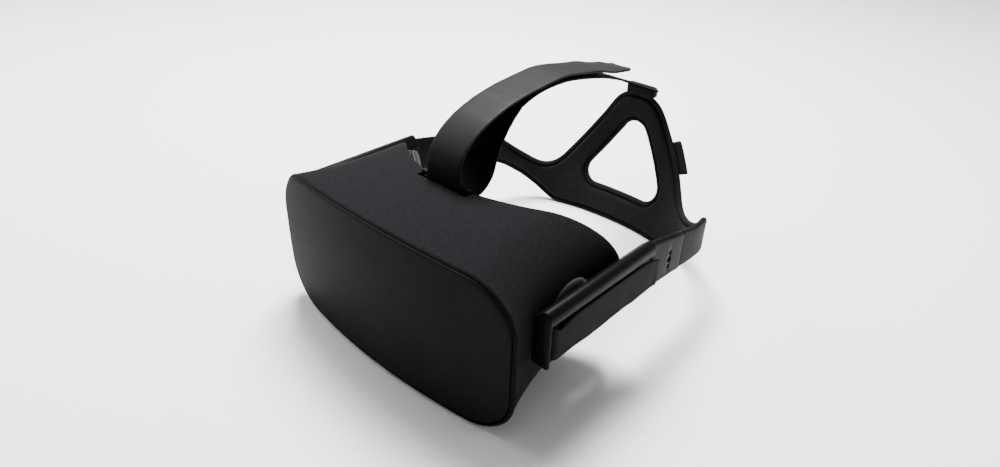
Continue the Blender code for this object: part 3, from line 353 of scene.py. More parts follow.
def shaped_sheet(name, outlines, insets, grid, near, far, place, spacing=1.5):
    """A closed thin solid over a flat region.

    near(d) and far(d) give the height of its two faces at distance d from the edge.
    """
    loops = []
    for number, outline in enumerate(outlines):
        loop = resampled(outline, spacing)
        if (signed_area(loop) > 0) != (number == 0):
            loop = loop[::-1]
        loops.append(loop)
    points, edges = [], []
    for loop in loops:
        for inset in insets:
            first = len(points)
            points += [tuple(p) for p in moved_in(loop, inset)]
            count = len(loop)
            edges += [(first + k, first + (k + 1) % count) for k in range(count)]
    every = np.vstack(loops)
    low, high = every.min(0), every.max(0)
    us, vs = (np.arange(low[k] + grid / 2, high[k], grid) for k in (0, 1))
    inner = np.array([(u + (grid / 2 if row % 2 else 0.0), v) for row, v in enumerate(vs) for u in us])
    keep = inside(inner, loops)
    keep &= edge_distance(inner, loops) > insets[-1] + 0.5 * grid
    points += [tuple(p) for p in inner[keep]]
    made, _, faces, *_ = geometry.delaunay_2d_cdt([Vector(p) for p in points], edges, [], 0, 1e-5)
    flat = np.array([(p.x, p.y) for p in made])
    centres = np.array([flat[list(face)].mean(0) for face in faces])
    faces = [face for face, good in zip(faces, inside(centres, loops)) if good]
    distance = edge_distance(flat, loops)
    bm = bmesh.new()
    sheets = []
    for side in (near, far):
        sheets.append([bm.verts.new(place(u, v, side(d))) for (u, v), d in zip(flat, distance)])
    count = {}
    for face in faces:
        bm.faces.new([sheets[0][i] for i in face])
        bm.faces.new([sheets[1][i] for i in reversed(face)])
        for a, b in zip(face, [*face[1:], face[0]]):
            count[frozenset((a, b))] = [*count.get(frozenset((a, b)), []), (a, b)]
    for used in count.values():
        if len(used) == 1:
            a, b = used[0]
            bm.faces.new((sheets[0][b], sheets[0][a], sheets[1][a], sheets[1][b]))
    bmesh.ops.delete(bm, geom=[v for v in bm.verts if not v.link_faces], context="VERTS")
    return to_mesh(name, bm)


# ---------------------------------------------------------------- materials
def new_material(name, colour, roughness, metallic=0.0, **sockets):
    material = bpy.data.materials.new(name)
    material.use_nodes = True
    shader = material.node_tree.nodes["Principled BSDF"]
    shader.inputs["Base Color"].default_value = (*colour, 1.0)
    shader.inputs["Roughness"].default_value = roughness
    shader.inputs["Metallic"].default_value = metallic
    for socket, value in sockets.items():
        shader.inputs[socket.replace("_", " ")].default_value = value
    return material, material.node_tree, shader


def add_node(tree, kind, **values):
    node = tree.nodes.new(kind)
    for name, value in values.items():
        if name in node.inputs:
            node.inputs[name].default_value = value
        else:
            setattr(node, name, value)
    return node


def object_space(tree, scale=(1, 1, 1), turn=(0, 0, 0)):
    """The piece's own coordinates, in metres, scaled and turned."""
    place = add_node(tree, "ShaderNodeTexCoord")
    mapping = add_node(tree, "ShaderNodeMapping")
    mapping.inputs["Scale"].default_value = scale
    mapping.inputs["Rotation"].default_value = turn
    tree.links.new(place.outputs["Object"], mapping.inputs["Vector"])
    return mapping.outputs["Vector"]


def noise(tree, scale, detail=3.0, roughness=0.55, stretch=(1, 1, 1)):
    node = add_node(tree, "ShaderNodeTexNoise", Scale=scale, Detail=detail, Roughness=roughness)
    tree.links.new(object_space(tree, stretch), node.inputs["Vector"])
    return node.outputs["Fac"]


def spread(tree, value, low, high, start=0.3, end=0.7):
    """Maps a texture's value to the range from low to high."""
    node = add_node(tree, "ShaderNodeMapRange")
    for name, number in (("From Min", start), ("From Max", end), ("To Min", low), ("To Max", high)):
        node.inputs[name].default_value = number
    tree.links.new(value, node.inputs["Value"])
    return node.outputs["Result"]


def tinted(tree, shader, factor, dark, light):
    """Base colour that varies from dark to light."""
    mix = add_node(tree, "ShaderNodeMix", data_type="RGBA")
    mix.inputs["A"].default_value = (*dark, 1.0)
    mix.inputs["B"].default_value = (*light, 1.0)
    tree.links.new(factor, mix.inputs["Factor"])
    tree.links.new(mix.outputs["Result"], shader.inputs["Base Color"])
    return mix


def bumped(tree, shader, heights):
    """Stacks bump nodes for (height, strength, distance in mm)."""
    last = None
    for height, strength, distance in heights:
        bump = add_node(tree, "ShaderNodeBump", Strength=strength, Distance=distance * MM)
        tree.links.new(height, bump.inputs["Height"])
        if last is not None:
            tree.links.new(last, bump.inputs["Normal"])
        last = bump.outputs["Normal"]
    tree.links.new(last, shader.inputs["Normal"])


def combine_values(tree, operation, a, b):
    node = add_node(tree, "ShaderNodeMath", operation=operation)
    for socket, value in zip(node.inputs, (a, b)):
        if isinstance(value, float):
            socket.default_value = value
        else:
            tree.links.new(value, socket)
    return node.outputs["Value"]


def plastic(name, colour, roughness, grain=2600.0, depth=0.02, wear=0.0, shift=0.25, **sockets):
    """Moulded plastic: fine spark-eroded grain, faint mottling and edges rubbed lighter."""
    material, tree, shader = new_material(name, colour, roughness, **sockets)
    patches = noise(tree, 38.0, 4.0)
    factor = spread(tree, patches, 0.0, 1.0)
    dark = tuple(c * (1 - shift) for c in colour)
    light = tuple(c * (1 + shift) for c in colour)
    mix = tinted(tree, shader, factor, dark, light)
    rough = spread(tree, noise(tree, 160.0, 5.0), roughness - shift * 0.12, roughness + shift * 0.12)
    tree.links.new(rough, shader.inputs["Roughness"])
    bumped(tree, shader, [(noise(tree, grain, 2.0), 0.35, depth)])
    if wear:
        edges = add_node(tree, "ShaderNodeNewGeometry")
        rubbed = spread(tree, edges.outputs["Pointiness"], 0.0, wear, 0.53, 0.62)
        worn = add_node(tree, "ShaderNodeMix", data_type="RGBA")
        tree.links.new(mix.outputs["Result"], worn.inputs["A"])
        worn.inputs["B"].default_value = (*(min(1.0, c * 5.0) for c in colour), 1.0)
        tree.links.new(rubbed, worn.inputs["Factor"])
        tree.links.new(worn.outputs["Result"], shader.inputs["Base Color"])
    return material


def knit(name, colour, roughness, stitch, depth, light=1.9, **sockets):
    """Knitted or woven cloth: rows of small loops with loose fibres between them."""
    material, tree, shader = new_material(name, colour, roughness, **sockets)
    cells = add_node(tree, "ShaderNodeTexVoronoi", Scale=1.0 / (stitch * MM), Randomness=1.0)
    tree.links.new(object_space(tree, (1.0, 0.8, 1.0), (0.0, 0.0, 0.35)), cells.inputs["Vector"])
    loops = spread(tree, cells.outputs["Distance"], 1.0, 0.0, 0.05, 0.62)
    fuzz = noise(tree, 5200.0, 2.0)
    slow = noise(tree, 90.0, 3.0)
    shade = combine_values(tree, "MULTIPLY", loops, spread(tree, slow, 0.82, 1.0))
    dark = tuple(c * 0.55 for c in colour)
    tinted(tree, shader, shade, dark, tuple(c * light for c in colour))
    bumped(tree, shader, [(loops, 0.8, depth), (fuzz, 0.3, depth * 0.4)])
    return material


def leather(name, colour, roughness, **sockets):
    """Coated strap: fine pebbled grain, long creases and a slow change of tone."""
    material, tree, shader = new_material(name, colour, roughness, **sockets)
    pebbles = add_node(tree, "ShaderNodeTexVoronoi", Scale=1500.0, Randomness=1.0)
    tree.links.new(object_space(tree), pebbles.inputs["Vector"])
    creases = noise(tree, 60.0, 4.0, stretch=(0.5, 3.0, 3.0))
    factor = spread(tree, noise(tree, 22.0, 4.0), 0.0, 1.0)
    tinted(tree, shader, factor, tuple(c * 0.82 for c in colour), tuple(c * 1.2 for c in colour))
    tree.links.new(spread(tree, creases, roughness - 0.06, roughness + 0.06), shader.inputs["Roughness"])
    bumped(tree, shader, [(pebbles.outputs["Distance"], 0.3, 0.03), (creases, 0.25, 0.12)])
    return material


def metal(name, colour, roughness):
    """Drawn metal: fine lines along its length and faint stains."""
    material, tree, shader = new_material(name, colour, roughness, metallic=1.0)
    lines = noise(tree, 900.0, 3.0, stretch=(0.15, 1.0, 1.0))
    factor = spread(tree, noise(tree, 120.0, 4.0), 0.0, 1.0)
    tinted(tree, shader, factor, tuple(c * 0.8 for c in colour), colour)
    tree.links.new(spread(tree, lines, roughness - 0.08, roughness + 0.1), shader.inputs["Roughness"])
    bumped(tree, shader, [(lines, 0.2, 0.01)])
    return material


def glassy(name, colour, roughness, transmission=0.0):
    """Polished optical surface with faint smears."""
    material, tree, shader = new_material(name, colour, roughness)
    shader.inputs["Transmission Weight"].default_value = transmission
    shader.inputs["IOR"].default_value = 1.49
    smears = noise(tree, 70.0, 5.0, stretch=(1.0, 1.0, 0.3))
    tree.links.new(spread(tree, smears, roughness, roughness + 0.08), shader.inputs["Roughness"])
    return material


def circuit(name):
    """Solder mask with traces, seen through the board's two directions."""
    material, tree, shader = new_material(name, (0.01, 0.05, 0.025), 0.4)
    cells = add_node(tree, "ShaderNodeTexBrick", Scale=1.0)
    cells.inputs["Brick Width"].default_value = 6.0
    cells.inputs["Row Height"].default_value = 1.4
    cells.inputs["Mortar Size"].default_value = 0.12
    tree.links.new(object_space(tree, (1000, 1000, 1000), (math.pi / 2, 0, 0)), cells.inputs["Vector"])
    tinted(tree, shader, cells.outputs["Fac"], (0.006, 0.035, 0.018), (0.02, 0.11, 0.05))
    bumped(tree, shader, [(cells.outputs["Fac"], 0.4, 0.05)])
    return material


PLATE = plastic(
    "satin_plate", (0.0070, 0.0070, 0.0073), 0.58, grain=3200.0, depth=0.012, shift=0.12,
    Specular_IOR_Level=0.024,
)
SEAL = plastic("soft_seal", (0.002, 0.002, 0.002), 0.8, Specular_IOR_Level=0.1)
CLOTH = knit(
    "knit_fabric", (0.0047, 0.0045, 0.0057), 0.95, 0.62, 0.10,
    Specular_IOR_Level=0.06, Sheen_Weight=0.015, Sheen_Roughness=0.5,
)
DARK = plastic("dark_plastic", (0.0025, 0.0025, 0.0027), 0.5, wear=0.1, Specular_IOR_Level=0.06)
ARM = plastic(
    "arm_plastic", (0.0022, 0.0022, 0.0023), 0.42, grain=2200.0, depth=0.02, wear=0.25, shift=0.15,
    Specular_IOR_Level=0.028,
)
STRAP = leather("strap_leather", (0.0082, 0.0080, 0.0082), 0.55, Specular_IOR_Level=0.06)
HOOK = knit("hook_strap", (0.0075, 0.0075, 0.0077), 0.72, 0.45, 0.06, light=1.4, Specular_IOR_Level=0.06)
RUBBER = plastic(
    "rubber", (0.0030, 0.0030, 0.0031), 0.55, grain=1500.0, depth=0.03, wear=0.15, Specular_IOR_Level=0.03,
)
PAD = knit(
    "pad_fabric", (0.0090, 0.0086, 0.0096), 0.95, 0.5, 0.08,
    Specular_IOR_Level=0.08, Sheen_Weight=0.02, Sheen_Roughness=0.4,
)
FOAM = knit("foam", (0.008, 0.008, 0.0085), 0.97, 0.8, 0.16, Specular_IOR_Level=0.12, Sheen_Weight=0.05)
LOOP = knit("loop_fabric", (0.0026, 0.0025, 0.0030), 0.98, 0.5, 0.08, Specular_IOR_Level=0.01)
RIM = plastic("soft_rim", (0.0075, 0.0073, 0.0080), 0.8, Specular_IOR_Level=0.05)
# The pivot dome's base colour is lifted well above the other dark plastics as painted light, so the dome
# shows grey though it sits in shade.
HUB = plastic("pivot_plastic", (0.030, 0.030, 0.031), 0.40, wear=0.1, Specular_IOR_Level=0.10)
THREAD = knit("thread", (0.010, 0.010, 0.0105), 0.8, 0.25, 0.05)
LENS = glassy("glass", (0.9, 0.93, 0.95), 0.04, 0.9)
SCREEN = glassy("display_glass", (0.008, 0.008, 0.012), 0.08)
BOARD = circuit("circuit")
ALUMINIUM = metal("aluminium", (0.60, 0.61, 0.62), 0.38)
STEEL = metal("steel", (0.45, 0.45, 0.46), 0.30)
BRASS = metal("brass", (0.70, 0.50, 0.20), 0.32)


# ---------------------------------------------------------------- visor surfaces
def rounded_outline(half, low, high, corner, crown=0.0, sag=0.0, nose=0.0, steps=FINE):
    """A closed (x, z) outline: a rounded box whose top bulges by crown and whose bottom lifts by sag."""
    bottom, top = low + corner, high - corner
    corners = ((1, bottom, -90), (1, top, 0), (-1, top, 90), (-1, bottom, 180))
    corner_steps, edge_steps, side_steps = steps
    gaps = (side_steps, edge_steps, side_steps, edge_steps)
    arcs = []
    for side, centre, first in corners:
        arc = []
        for i in range(corner_steps + 1):
            angle = math.radians(first + 90 * i / corner_steps)
            arc.append((side * (half - corner) + corner * math.cos(angle), centre + corner * math.sin(angle)))
        arcs.append(arc)
    outline = []
    for k, arc in enumerate(arcs):
        outline += arc
        (x0, z0), (x1, z1) = arc[-1], arcs[(k + 1) % 4][0]
        for i in range(1, gaps[k]):
            t = i / gaps[k]
            outline.append((x0 + (x1 - x0) * t, z0 + (z1 - z0) * t))
    shaped = []
    for x, z in outline:
        t = (z - low) / (high - low)
        middle = 1 - (x / half) ** 2
        lift = crown * middle * t + sag * middle * (1 - t)
        lift += nose * math.exp(-((x / NOSE_HALF) ** 2)) * (1 - t)
        shaped.append((x, z + lift))
    return shaped


def front_y(x, z):
    return PLATE_SWEEP * x * x + PLATE_TUCK * (z - PLATE_MID) ** 2


def rear_y(x, z):
    return REAR_AT + REAR_SWEEP * x * x - 0.15 * max(0.0, z - 56.0) * (x / 81.0) ** 2


def visor_loop(f, inset, y_shift=0.0):
    """The visor's skin at fraction f of its depth, moved inwards by inset."""
    half = 79.0 + (RIM_HALF - 79.0) * (1 - f) ** 3.2 + 2.0 * f * f - inset
    low = RIM_LOW * (1 - f) ** 3 + REAR_RISE * (1 - (1 - f) ** 1.8) + inset
    high = RIM_HIGH + REAR_LIFT * min(1.0, f / 0.25) - inset
    nose = (NOSE_RISE + 1.3 * inset) * max(0.0, (f - 0.35) / 0.65) ** 2
    corner = RIM_CORNER + 3.5 * f - inset
    outline = rounded_outline(half, low, high, corner, PLATE_CROWN, PLATE_SAG * (1 - f), nose)
    loop = []
    for x, z in outline:
        y0 = front_y(x, z) + RIM_SETBACK
        loop.append((x, y0 + (rear_y(x, z) - y0) * f + y_shift, z))
    return loop


def plate_loop(inset, y_shift, scale=1.0):
    """The front plate's outline moved inwards and back, or shrunk towards its middle."""
    outline = rounded_outline(
        PLATE_HALF - inset, PLATE_LOW + inset, PLATE_HIGH - inset, PLATE_CORNER - inset,
        PLATE_CROWN, PLATE_SAG,
    )
    loop = []
    for x, z in outline:
        x, z = x * scale, PLATE_MID + (z - PLATE_MID) * scale
        loop.append((x, front_y(x, z) + y_shift, z))
    return loop


def face_loop(inset, y_shift, spread_back=0.0):
    """The face interface's outline, inset and moved back; spread_back moves its sides back further."""
    outline = rounded_outline(
        FACE_HALF - inset, FACE_LOW + inset, FACE_HIGH - inset, FACE_CORNER - inset,
        FACE_CROWN, 0.0, FACE_NOSE,
    )
    return [(x, rear_y(x, z) + y_shift + spread_back * (x / FACE_HALF) ** 2, z) for x, z in outline]


# ---------------------------------------------------------------- visor
def make_plate():
    turns = [math.radians(a) for a in (90, 70, 50, 30, 15, 0)]
    edge = [(PLATE_EDGE * (1 - math.cos(a)), PLATE_EDGE * (1 - math.sin(a))) for a in turns]
    loops = [plate_loop(PLATE_EDGE, 0.0, s) for s in (0.12, 0.3, 0.45, 0.6, 0.75, 0.87, 0.95, 0.985)]
    loops += [plate_loop(inset, back) for inset, back in edge]
    loops += [plate_loop(0, PLATE_THICK - 0.3), plate_loop(0.3, PLATE_THICK)]
    loops += [plate_loop(0.3, PLATE_THICK, s) for s in (0.7, 0.3)]
    plate = add_object("plate_skin", loft("plate_skin", loops))
    dress(plate, PLATE, ["front_plate"], "visor", 60.0)
    corners = ((0.9, 2.5), (0.7, 2.9), (0.9, 3.4), (3.4, 3.4), (3.4, 2.5))
    gasket = add_object("seam_seal", loft("seam_seal", [plate_loop(i, b) for i, b in corners], ring=True))
    dress(gasket, SEAL, ["seam_gasket"], "visor")


def visor_cuts():
    """Strap notch at the top rear, pivot holes in the sides and the spacing slider's slot below."""
    return [
        box((-18.0, 50.6, 76.0), (18.0, 62.0, 97.0)),
        box((-48.0, 17.5, -2.0), (-22.0, 22.5, 13.0)),
        rod((-95, PIVOT_AT, PIVOT_HIGH), (95, PIVOT_AT, PIVOT_HIGH), 6.9, 48),
    ]


def make_shroud():
    """The knitted cover, rolled in round the front plate and over the rear rim."""
    roll = 1.5
    front = []
    for angle in (150, 120, 90, 60, 35, 12):
        a = math.radians(angle)
        share = 0.5 if angle > 90 else 1.0
        front.append(visor_loop(0.0, roll * (1 - math.cos(a)) * share, roll * (1 - math.sin(a))))
    body = [visor_loop(f, 0.0) for f in np.linspace(0.03, 0.965, 22)]
    back = [visor_loop(0.985, 0.12), visor_loop(0.996, 0.45), visor_loop(0.996, 0.85)]
    inner = [visor_loop(f, FABRIC) for f in np.linspace(0.97, 0.06, 14)] + [visor_loop(0.03, 1.3)]
    shroud = add_object("fabric_cover", loft("fabric_cover", front + body + back + inner, ring=True))
    combine(shroud, visor_cuts())
    dress(shroud, CLOTH, ["fabric_shroud"], "visor", 50.0)


def make_face_interface():
    section = [(0.0, -2.0), (0.0, 1.4, 0.6), (0.3, 2.4, 0.6), (1.0, 3.2, 0.6)]
    section += [(1.8, 3.4, 0.6), (8.0, 3.4, 0.6), (8.0, -2.0)]
    ring = [face_loop(*p) for p in section]
    rim = add_object("face_rim", loft("face_rim", ring, ring=True))
    dress(rim, DARK, ["face_frame"], "face_mask")
    profile = [(1.6, 3.9, 0.6), (1.4, 4.6, 0.9), (1.6, 5.6, 1.1), (2.4, 6.6, 1.3), (3.8, 7.2, 1.4)]
    profile += [(5.6, 7.5, 1.4), (7.6, 7.5, 1.2), (9.6, 7.2, 1.0), (11.4, 6.6, 0.8), (12.6, 5.7, 0.7)]
    profile += [(13.0, 4.8, 0.6), (12.5, 3.9, 0.6)]
    foam = add_object("face_cushion", loft("face_cushion", [face_loop(*p) for p in profile], ring=True))
    dress(foam, FOAM, ["face_foam"], "face_mask", 80.0)
    piping = add_object("face_cushion_piping", bead("piping", face_loop(1.5, 4.3, 0.8), 0.45, closed=True))
    dress(piping, THREAD, body="face_mask")


def make_optics(side, name):
    """The lens, whose rear face is cut into fine rings."""
    eye = side * EYE_HALF
    body = f"pod_{name}"

    turns = [2 * math.pi * k / 72 for k in range(72)]
    rings = [(6.0, 45.2), (14.0, 45.8), (LENS_R - 1.0, 47.2), (LENS_R - 0.2, 47.8), (LENS_R - 0.2, 49.4)]
    rear = [(LENS_R - 1.0, 49.8)]
    for k in range(14):
        radius = LENS_R - 2.0 - 1.3 * k
        crown = 54.2 - 4.4 * (radius / LENS_R) ** 2
        rear += [(radius, crown), (radius - 0.12, crown - 0.25)]
    rear += [(3.0, 54.0)]
    loops = [[(eye + r * math.cos(a), y, EYE_HIGH + r * math.sin(a)) for a in turns] for r, y in rings + rear]
    lens = add_object(f"eyepiece_{name}", loft("lens", loops))
    dress(lens, LENS, [f"lens_{name}"], body, 25.0)


def make_liner():
    """The stretched sheet round the two barrels that hides the works."""
    outline = rounded_outline(72.0, 14.5, 79.0, 22.0, nose=14.0)
    windows = []
    for side in (-1, 1):
        centre = side * EYE_HALF
        turns = [2 * math.pi * k / 60 for k in range(60)]
        window = [(centre + 27.6 * math.cos(a), EYE_HIGH + 27.9 * math.sin(a)) for a in turns]
        reach = [(x + math.copysign(3.8, x - centre), z) for x, z in window]
        windows.append([(side * max(side * x, 0.6), z) for x, z in reach])

    def near(d):
        return 0.35 - 0.35 * math.exp(-d / 2.0)

    mesh = shaped_sheet("liner", [outline, *windows], (0.0, 0.8), 4.0, lambda d: near(d) - 0.35,
                        lambda d: near(d) + 0.05, lambda u, v, t: (u, 47.0 + t, v), 2.5)
    liner = add_object("lens_sheet", mesh)
    dress(liner, CLOTH, ["lens_liner"], "visor", 60.0)


def make_pivot(side, name):
    """The domed stub that the arm turns on."""
    profile = [(86.0, 0.4), (86.0, 3.4), (85.8, 3.7), (84.3, 3.8), (84.25, 8.4), (84.1, 10.0), (83.8, 11.4)]
    profile += [(83.3, 12.8), (82.7, 13.8), (82.2, 14.2), (82.0, 13.9), (82.0, 6.4), (74.6, 6.4), (74.6, 9.0)]
    profile += [(72.8, 9.0), (72.8, 0.4)]
    turns = [2 * math.pi * k / 48 for k in range(48)]
    loops = []
    for x, radius in profile:
        ring = [(PIVOT_AT + radius * math.cos(a), PIVOT_HIGH + radius * math.sin(a)) for a in turns]
        loops.append([(side * x, y, z) for y, z in ring])
    dome = add_object(f"pivot_dome_{name}", loft("pivot", loops))
    dress(dome, HUB, [f"pivot_{name}"], "visor", 35.0)


# ---------------------------------------------------------------- arms
def make_housing(side, name):
    """The long housing: a rolled flange on top, the strap's recess outside and a channel inside."""
    corners = [(ARM_IN, ARM_LOW), (ARM_OUT, ARM_LOW), (ARM_OUT, ARM_HIGH), (89.6, ARM_HIGH), (ARM_IN, 65.5)]
    section = filleted(corners, (1.6, 1.2, 3.5, 2.2, 2.0), 7)
    ends = [[(side * x, y, z) for x, z in section] for y in (ARM_FRONT, ARM_END)]
    arm = add_object(f"arm_body_{name}", loft("arm", ends))
    round_edges(arm, 0.7, 3, 60.0)
    spaces = {
        "channel": ((ARM_IN - 2.0, ARM_FRONT + 4.0, 41.0), (ARM_WALL, ARM_END + 2.0, 64.0)),
        "recess": ((ARM_SKIN, ARM_FRONT + 1.5, ARM_LOW - 2.0), (ARM_OUT + 2.0, ARM_END + 2.0, ARM_FLANGE)),
        "window": ((ARM_WALL - 1.0, 31.4, 40.9), (ARM_SKIN + 1.0, 43.5, 62.0)),
    }
    combine(arm, [side_box(side, *space) for space in spaces.values()])
    round_edges(arm, 0.35, 2, 50.0)
    dress(arm, ARM, [f"arm_housing_{name}"], "arms", 35.0)
    # The faces of the housing's front end take the dark plastic as painted shade, for the end that faces away
    # from the lamps.
    end = row_point(0, ARM_FRONT + 3.0, 0)[1]
    reverse_side(arm, DARK, lambda centre, normal: normal.y < -0.85 and centre.y < end)


def make_flap(side, name):
    """The hook-and-loop strap: round the bar and back along the outer face, slightly rippled."""
    radius = BAR_R + GAP + FLAP_THICK / 2
    turn = [math.radians(a) for a in range(0, -181, -15)]
    path = [(BAR_X + radius, y) for y in np.linspace(FLAP_END, BAR_AT + 1.5, 40)]
    path += [(BAR_X + radius * math.cos(a), BAR_AT + radius * math.sin(a)) for a in turn]
    path += [(BAR_X - radius, 38.0), (BAR_X - radius, 43.0)]
    path = [(side * x, y) for x, y in path]
    flat = 40 / len(path)

    def top(along):
        rear = 3.4 * max(0.0, 1.0 - along / 0.16) ** 2
        front = 3.0 * max(0.0, 1.0 - abs(along - flat) / 0.16) ** 2
        return FLAP_HIGH - rear - front

    def bottom(along):
        return FLAP_LOW + 0.35 * math.sin(9.0 * along) + 0.25 * math.sin(23.0 * along)

    def wave(along, across):
        fade = max(0.0, 1.0 - along / (flat * 0.95))
        ripple = 0.16 * math.sin(31.0 * along + 2.0 * across) + 0.10 * math.sin(57.0 * along)
        return -side * fade * ripple * (1.2 - across)

    strap = add_object(f"strap_flap_{name}", strip("flap", path, FLAP_THICK, bottom, top, True, wave))
    dress(strap, HOOK, [f"side_strap_{name}"], "arms", 60.0)


# ---------------------------------------------------------------- rear band and cradle
def band_plan():
    """The inner face of the rear band seen from above, from the middle of the back to the arm."""
    route = [(0, 221.4), (14, 220.9), (28, 219.2), (42, 215.8), (55, 210.3), (66.5, 202.5), (75.5, 192.5)]
    route += [(81.6, 181), (84.4, 169), (85.7, 156), (86.2, 143), (86.3, 132), (86.3, 120)]
    route.append((86.3, ARM_END + 0.4))
    fine = np.array(smooth_path(route, 2.0))
    steps = np.hypot(*np.diff(fine, axis=0).T)
    return np.concatenate([[0.0], np.cumsum(steps)]), fine[:, 0], fine[:, 1]


PLAN_U, PLAN_X, PLAN_Y = band_plan()
BAND_END = float(PLAN_U[-1])


def plan_distance(y):
    side = PLAN_U > 60.0
    return float(np.interp(-y, -PLAN_Y[side], PLAN_U[side]))


def band_point(u, z, t):
    """A point at distance u round the band, at height z, t outwards from the face nearest the head."""
    side = -1.0 if u < 0 else 1.0
    u = abs(u)
    x, y = np.interp(u, PLAN_U, PLAN_X), np.interp(u, PLAN_U, PLAN_Y)
    step = 1.5
    ahead, behind = min(u + step, BAND_END), u - step
    ax, ay = np.interp(ahead, PLAN_U, PLAN_X), np.interp(ahead, PLAN_U, PLAN_Y)
    bx = math.copysign(np.interp(abs(behind), PLAN_U, PLAN_X), behind)
    by = np.interp(abs(behind), PLAN_U, PLAN_Y)
    length = math.hypot(ax - bx, ay - by)
    nx, ny = -(ay - by) / length, (ax - bx) / length
    fade = min(1.0, max(0.0, (88.0 - u) / 46.0))
    fade = fade * fade * (3 - 2 * fade)
    lean = 0.35 * (z - 15.0) if z < 15.0 else 0.62 * (z - 15.0) - 0.0042 * (z * z - 225.0)
    return side * (x + nx * t) - CRADLE_SWAY * fade, y + lean * fade + ny * t, z


def band_top(u):
    along = [60, 70, 80, 90, 99, 118, 140, 172]
    return float(np.interp(u, along, [27.5, 31, 38.5, 47, 53.6, 57.0, 62.6, 69.2]))


def band_bottom(u):
    stops = [0, 42, 52, 66, 80, 92, 104, 118, 140, 172]
    return float(np.interp(u, stops, [0, 0, 2.4, 10.6, 20.4, 28, 31.8, 34.6, 38, 39.8]))


def cradle_outline(end):
    """The cradle's (u, z) outline, smooth but for the corners of its two ends."""
    lower = [(u, band_bottom(u)) for u in (0, 21, 42, 52, 66, 80, 92, 104, 118)] + [(end, band_bottom(end))]
    upper = [(u, band_top(u)) for u in (end, 118, 108, 99)] + [(90, 47), (80, 38.5)]
    upper += [(71, 31.8), (66, 28.9), (61.5, 27.6), (57, 28.0), (53, 30.2), (49.6, 34.0), (46.0, 39.4)]
    upper += [(36.0, 55.2), (26.0, 71.0), (19.2, 82.0), (14.6, 87.2), (8.0, 91.0), (0, CRADLE_TOP)]
    half = smooth_path(lower, 1.5) + smooth_path(upper, 1.5)
    return half + [(-u, z) for u, z in reversed(half[1:-1])]


def cradle_hole():
    """The rounded triangle in the middle."""
    apex = HOLE_BASE + HOLE_VERTEX / HOLE_SLOPE
    corners = [(0, apex), (-HOLE_VERTEX, HOLE_BASE), (HOLE_VERTEX, HOLE_BASE)]
    return filleted(corners, (9.0, 9.0, 9.0), 12)


def elliptic(x):
    """Height of a quarter circle of unit radius, x in from its edge."""
    x = min(max(x, 0.0), 1.0)
    return math.sqrt(1 - (1 - x) ** 2)


def make_cradle():
    outline, hole = cradle_outline(plan_distance(ARM_SEAM) - 0.05), cradle_hole()
    outer = PAD_THICK + PAD_GAP + CRADLE_SHELL
    seat = PAD_THICK + PAD_GAP

    def shell_near(d):
        half = RIM_WIDTH / 2
        bulge = math.sqrt(max(0.0, 1 - ((d - half) / half) ** 2)) if d < RIM_WIDTH else 0.0
        return seat - 1.9 * bulge

    def shell_far(d):
        return seat + 0.1 + (outer - seat - 0.1) * elliptic(d / 1.5)

    insets = (0.0, 0.08, 0.3, 0.7, 1.1, 1.5, 1.9, 2.3, 2.7, 2.92, 3.05)
    mesh = shaped_sheet("shell", [outline, hole], insets, 4.0, shell_near, shell_far, band_point)
    shell = add_object("cradle_skin", mesh)
    dress(shell, RUBBER, ["cradle_shell"], "cradle", 70.0)
    reverse_side(shell, RIM, towards_head)

    def pad_near(d):
        return (seat - 0.3) * (1 - elliptic(d / 1.8)) + 0.05

    lining = moved_in(oriented(outline, True), PAD_INSET)
    window = moved_in(oriented(hole, False), PAD_INSET)
    mesh = shaped_sheet("pad", [lining, window], (0.0, 0.1, 0.35, 0.8, 1.3, 1.8), 3.0, pad_near,
                        lambda d: seat - 0.08, band_point)
    pad = add_object("cradle_lining", mesh)
    dress(pad, PAD, ["cradle_pad"], "cradle", 70.0)


def oriented(outline, counter_clockwise):
    loop = resampled(outline, 1.5)
    return loop if (signed_area(loop) > 0) == counter_clockwise else loop[::-1]


def make_rear_arm(side, name):
    """The sliding rear arm: flat blade with three holes, and the tongue and finger inside the housing."""
    seam = plan_distance(ARM_SEAM)
    loops = []
    for u in (seam - 3.0, seam + 0.1, *np.linspace(seam + 0.12, BAND_END, 26)):
        low, high = band_bottom(u), band_top(u)
        corners = [(0.0, low), (5.1, low), (5.1, high), (2.4, high), (0.0, high - 2.4)]
        section = filleted(corners, (0.8, 1.1, 2.0, 0.9, 0.9), 5)
        if u < seam + 0.11:
            low, high = low + 0.9, high - 0.9
            corners = [(3.2, low), (4.4, low), (4.4, high), (3.6, high), (3.2, high - 0.5)]
            section = filleted(corners, (0.2, 0.2, 0.2, 0.1, 0.1), 5)
        loop = []
        for t, z in section:
            x, y, z = band_point(u, z, t)
            loop.append((side * x, y, z))
        loops.append(loop)
    blade = add_object(f"rear_blade_{name}", loft("blade", loops))
    combine(blade, [
        side_box(side, (88.4, 66.8, 43.0), (90.1, ARM_END + 3.0, 57.6)),
        side_box(side, (86.5, 72.4, 58.6), (90.1, ARM_END + 3.0, 63.4)),
    ], "UNION")
    cuts = [side_box(side, (84.0, HOLE_AT - 6.0, 42.5), (89.9, HOLE_AT + 6.0, 57.1))]
    for step, radius in ((-1, HOLE_SMALL), (0, HOLE_LARGE), (1, HOLE_SMALL)):
        z = HOLE_MID + step * HOLE_PITCH
        cuts.append(rod((side * 85, HOLE_AT, z), (side * 95, HOLE_AT, z), radius))
    combine(blade, cuts)
    round_edges(blade, 0.25, 2, 50.0)
    dress(blade, ARM, [f"rear_arm_{name}"], "cradle", 35.0)


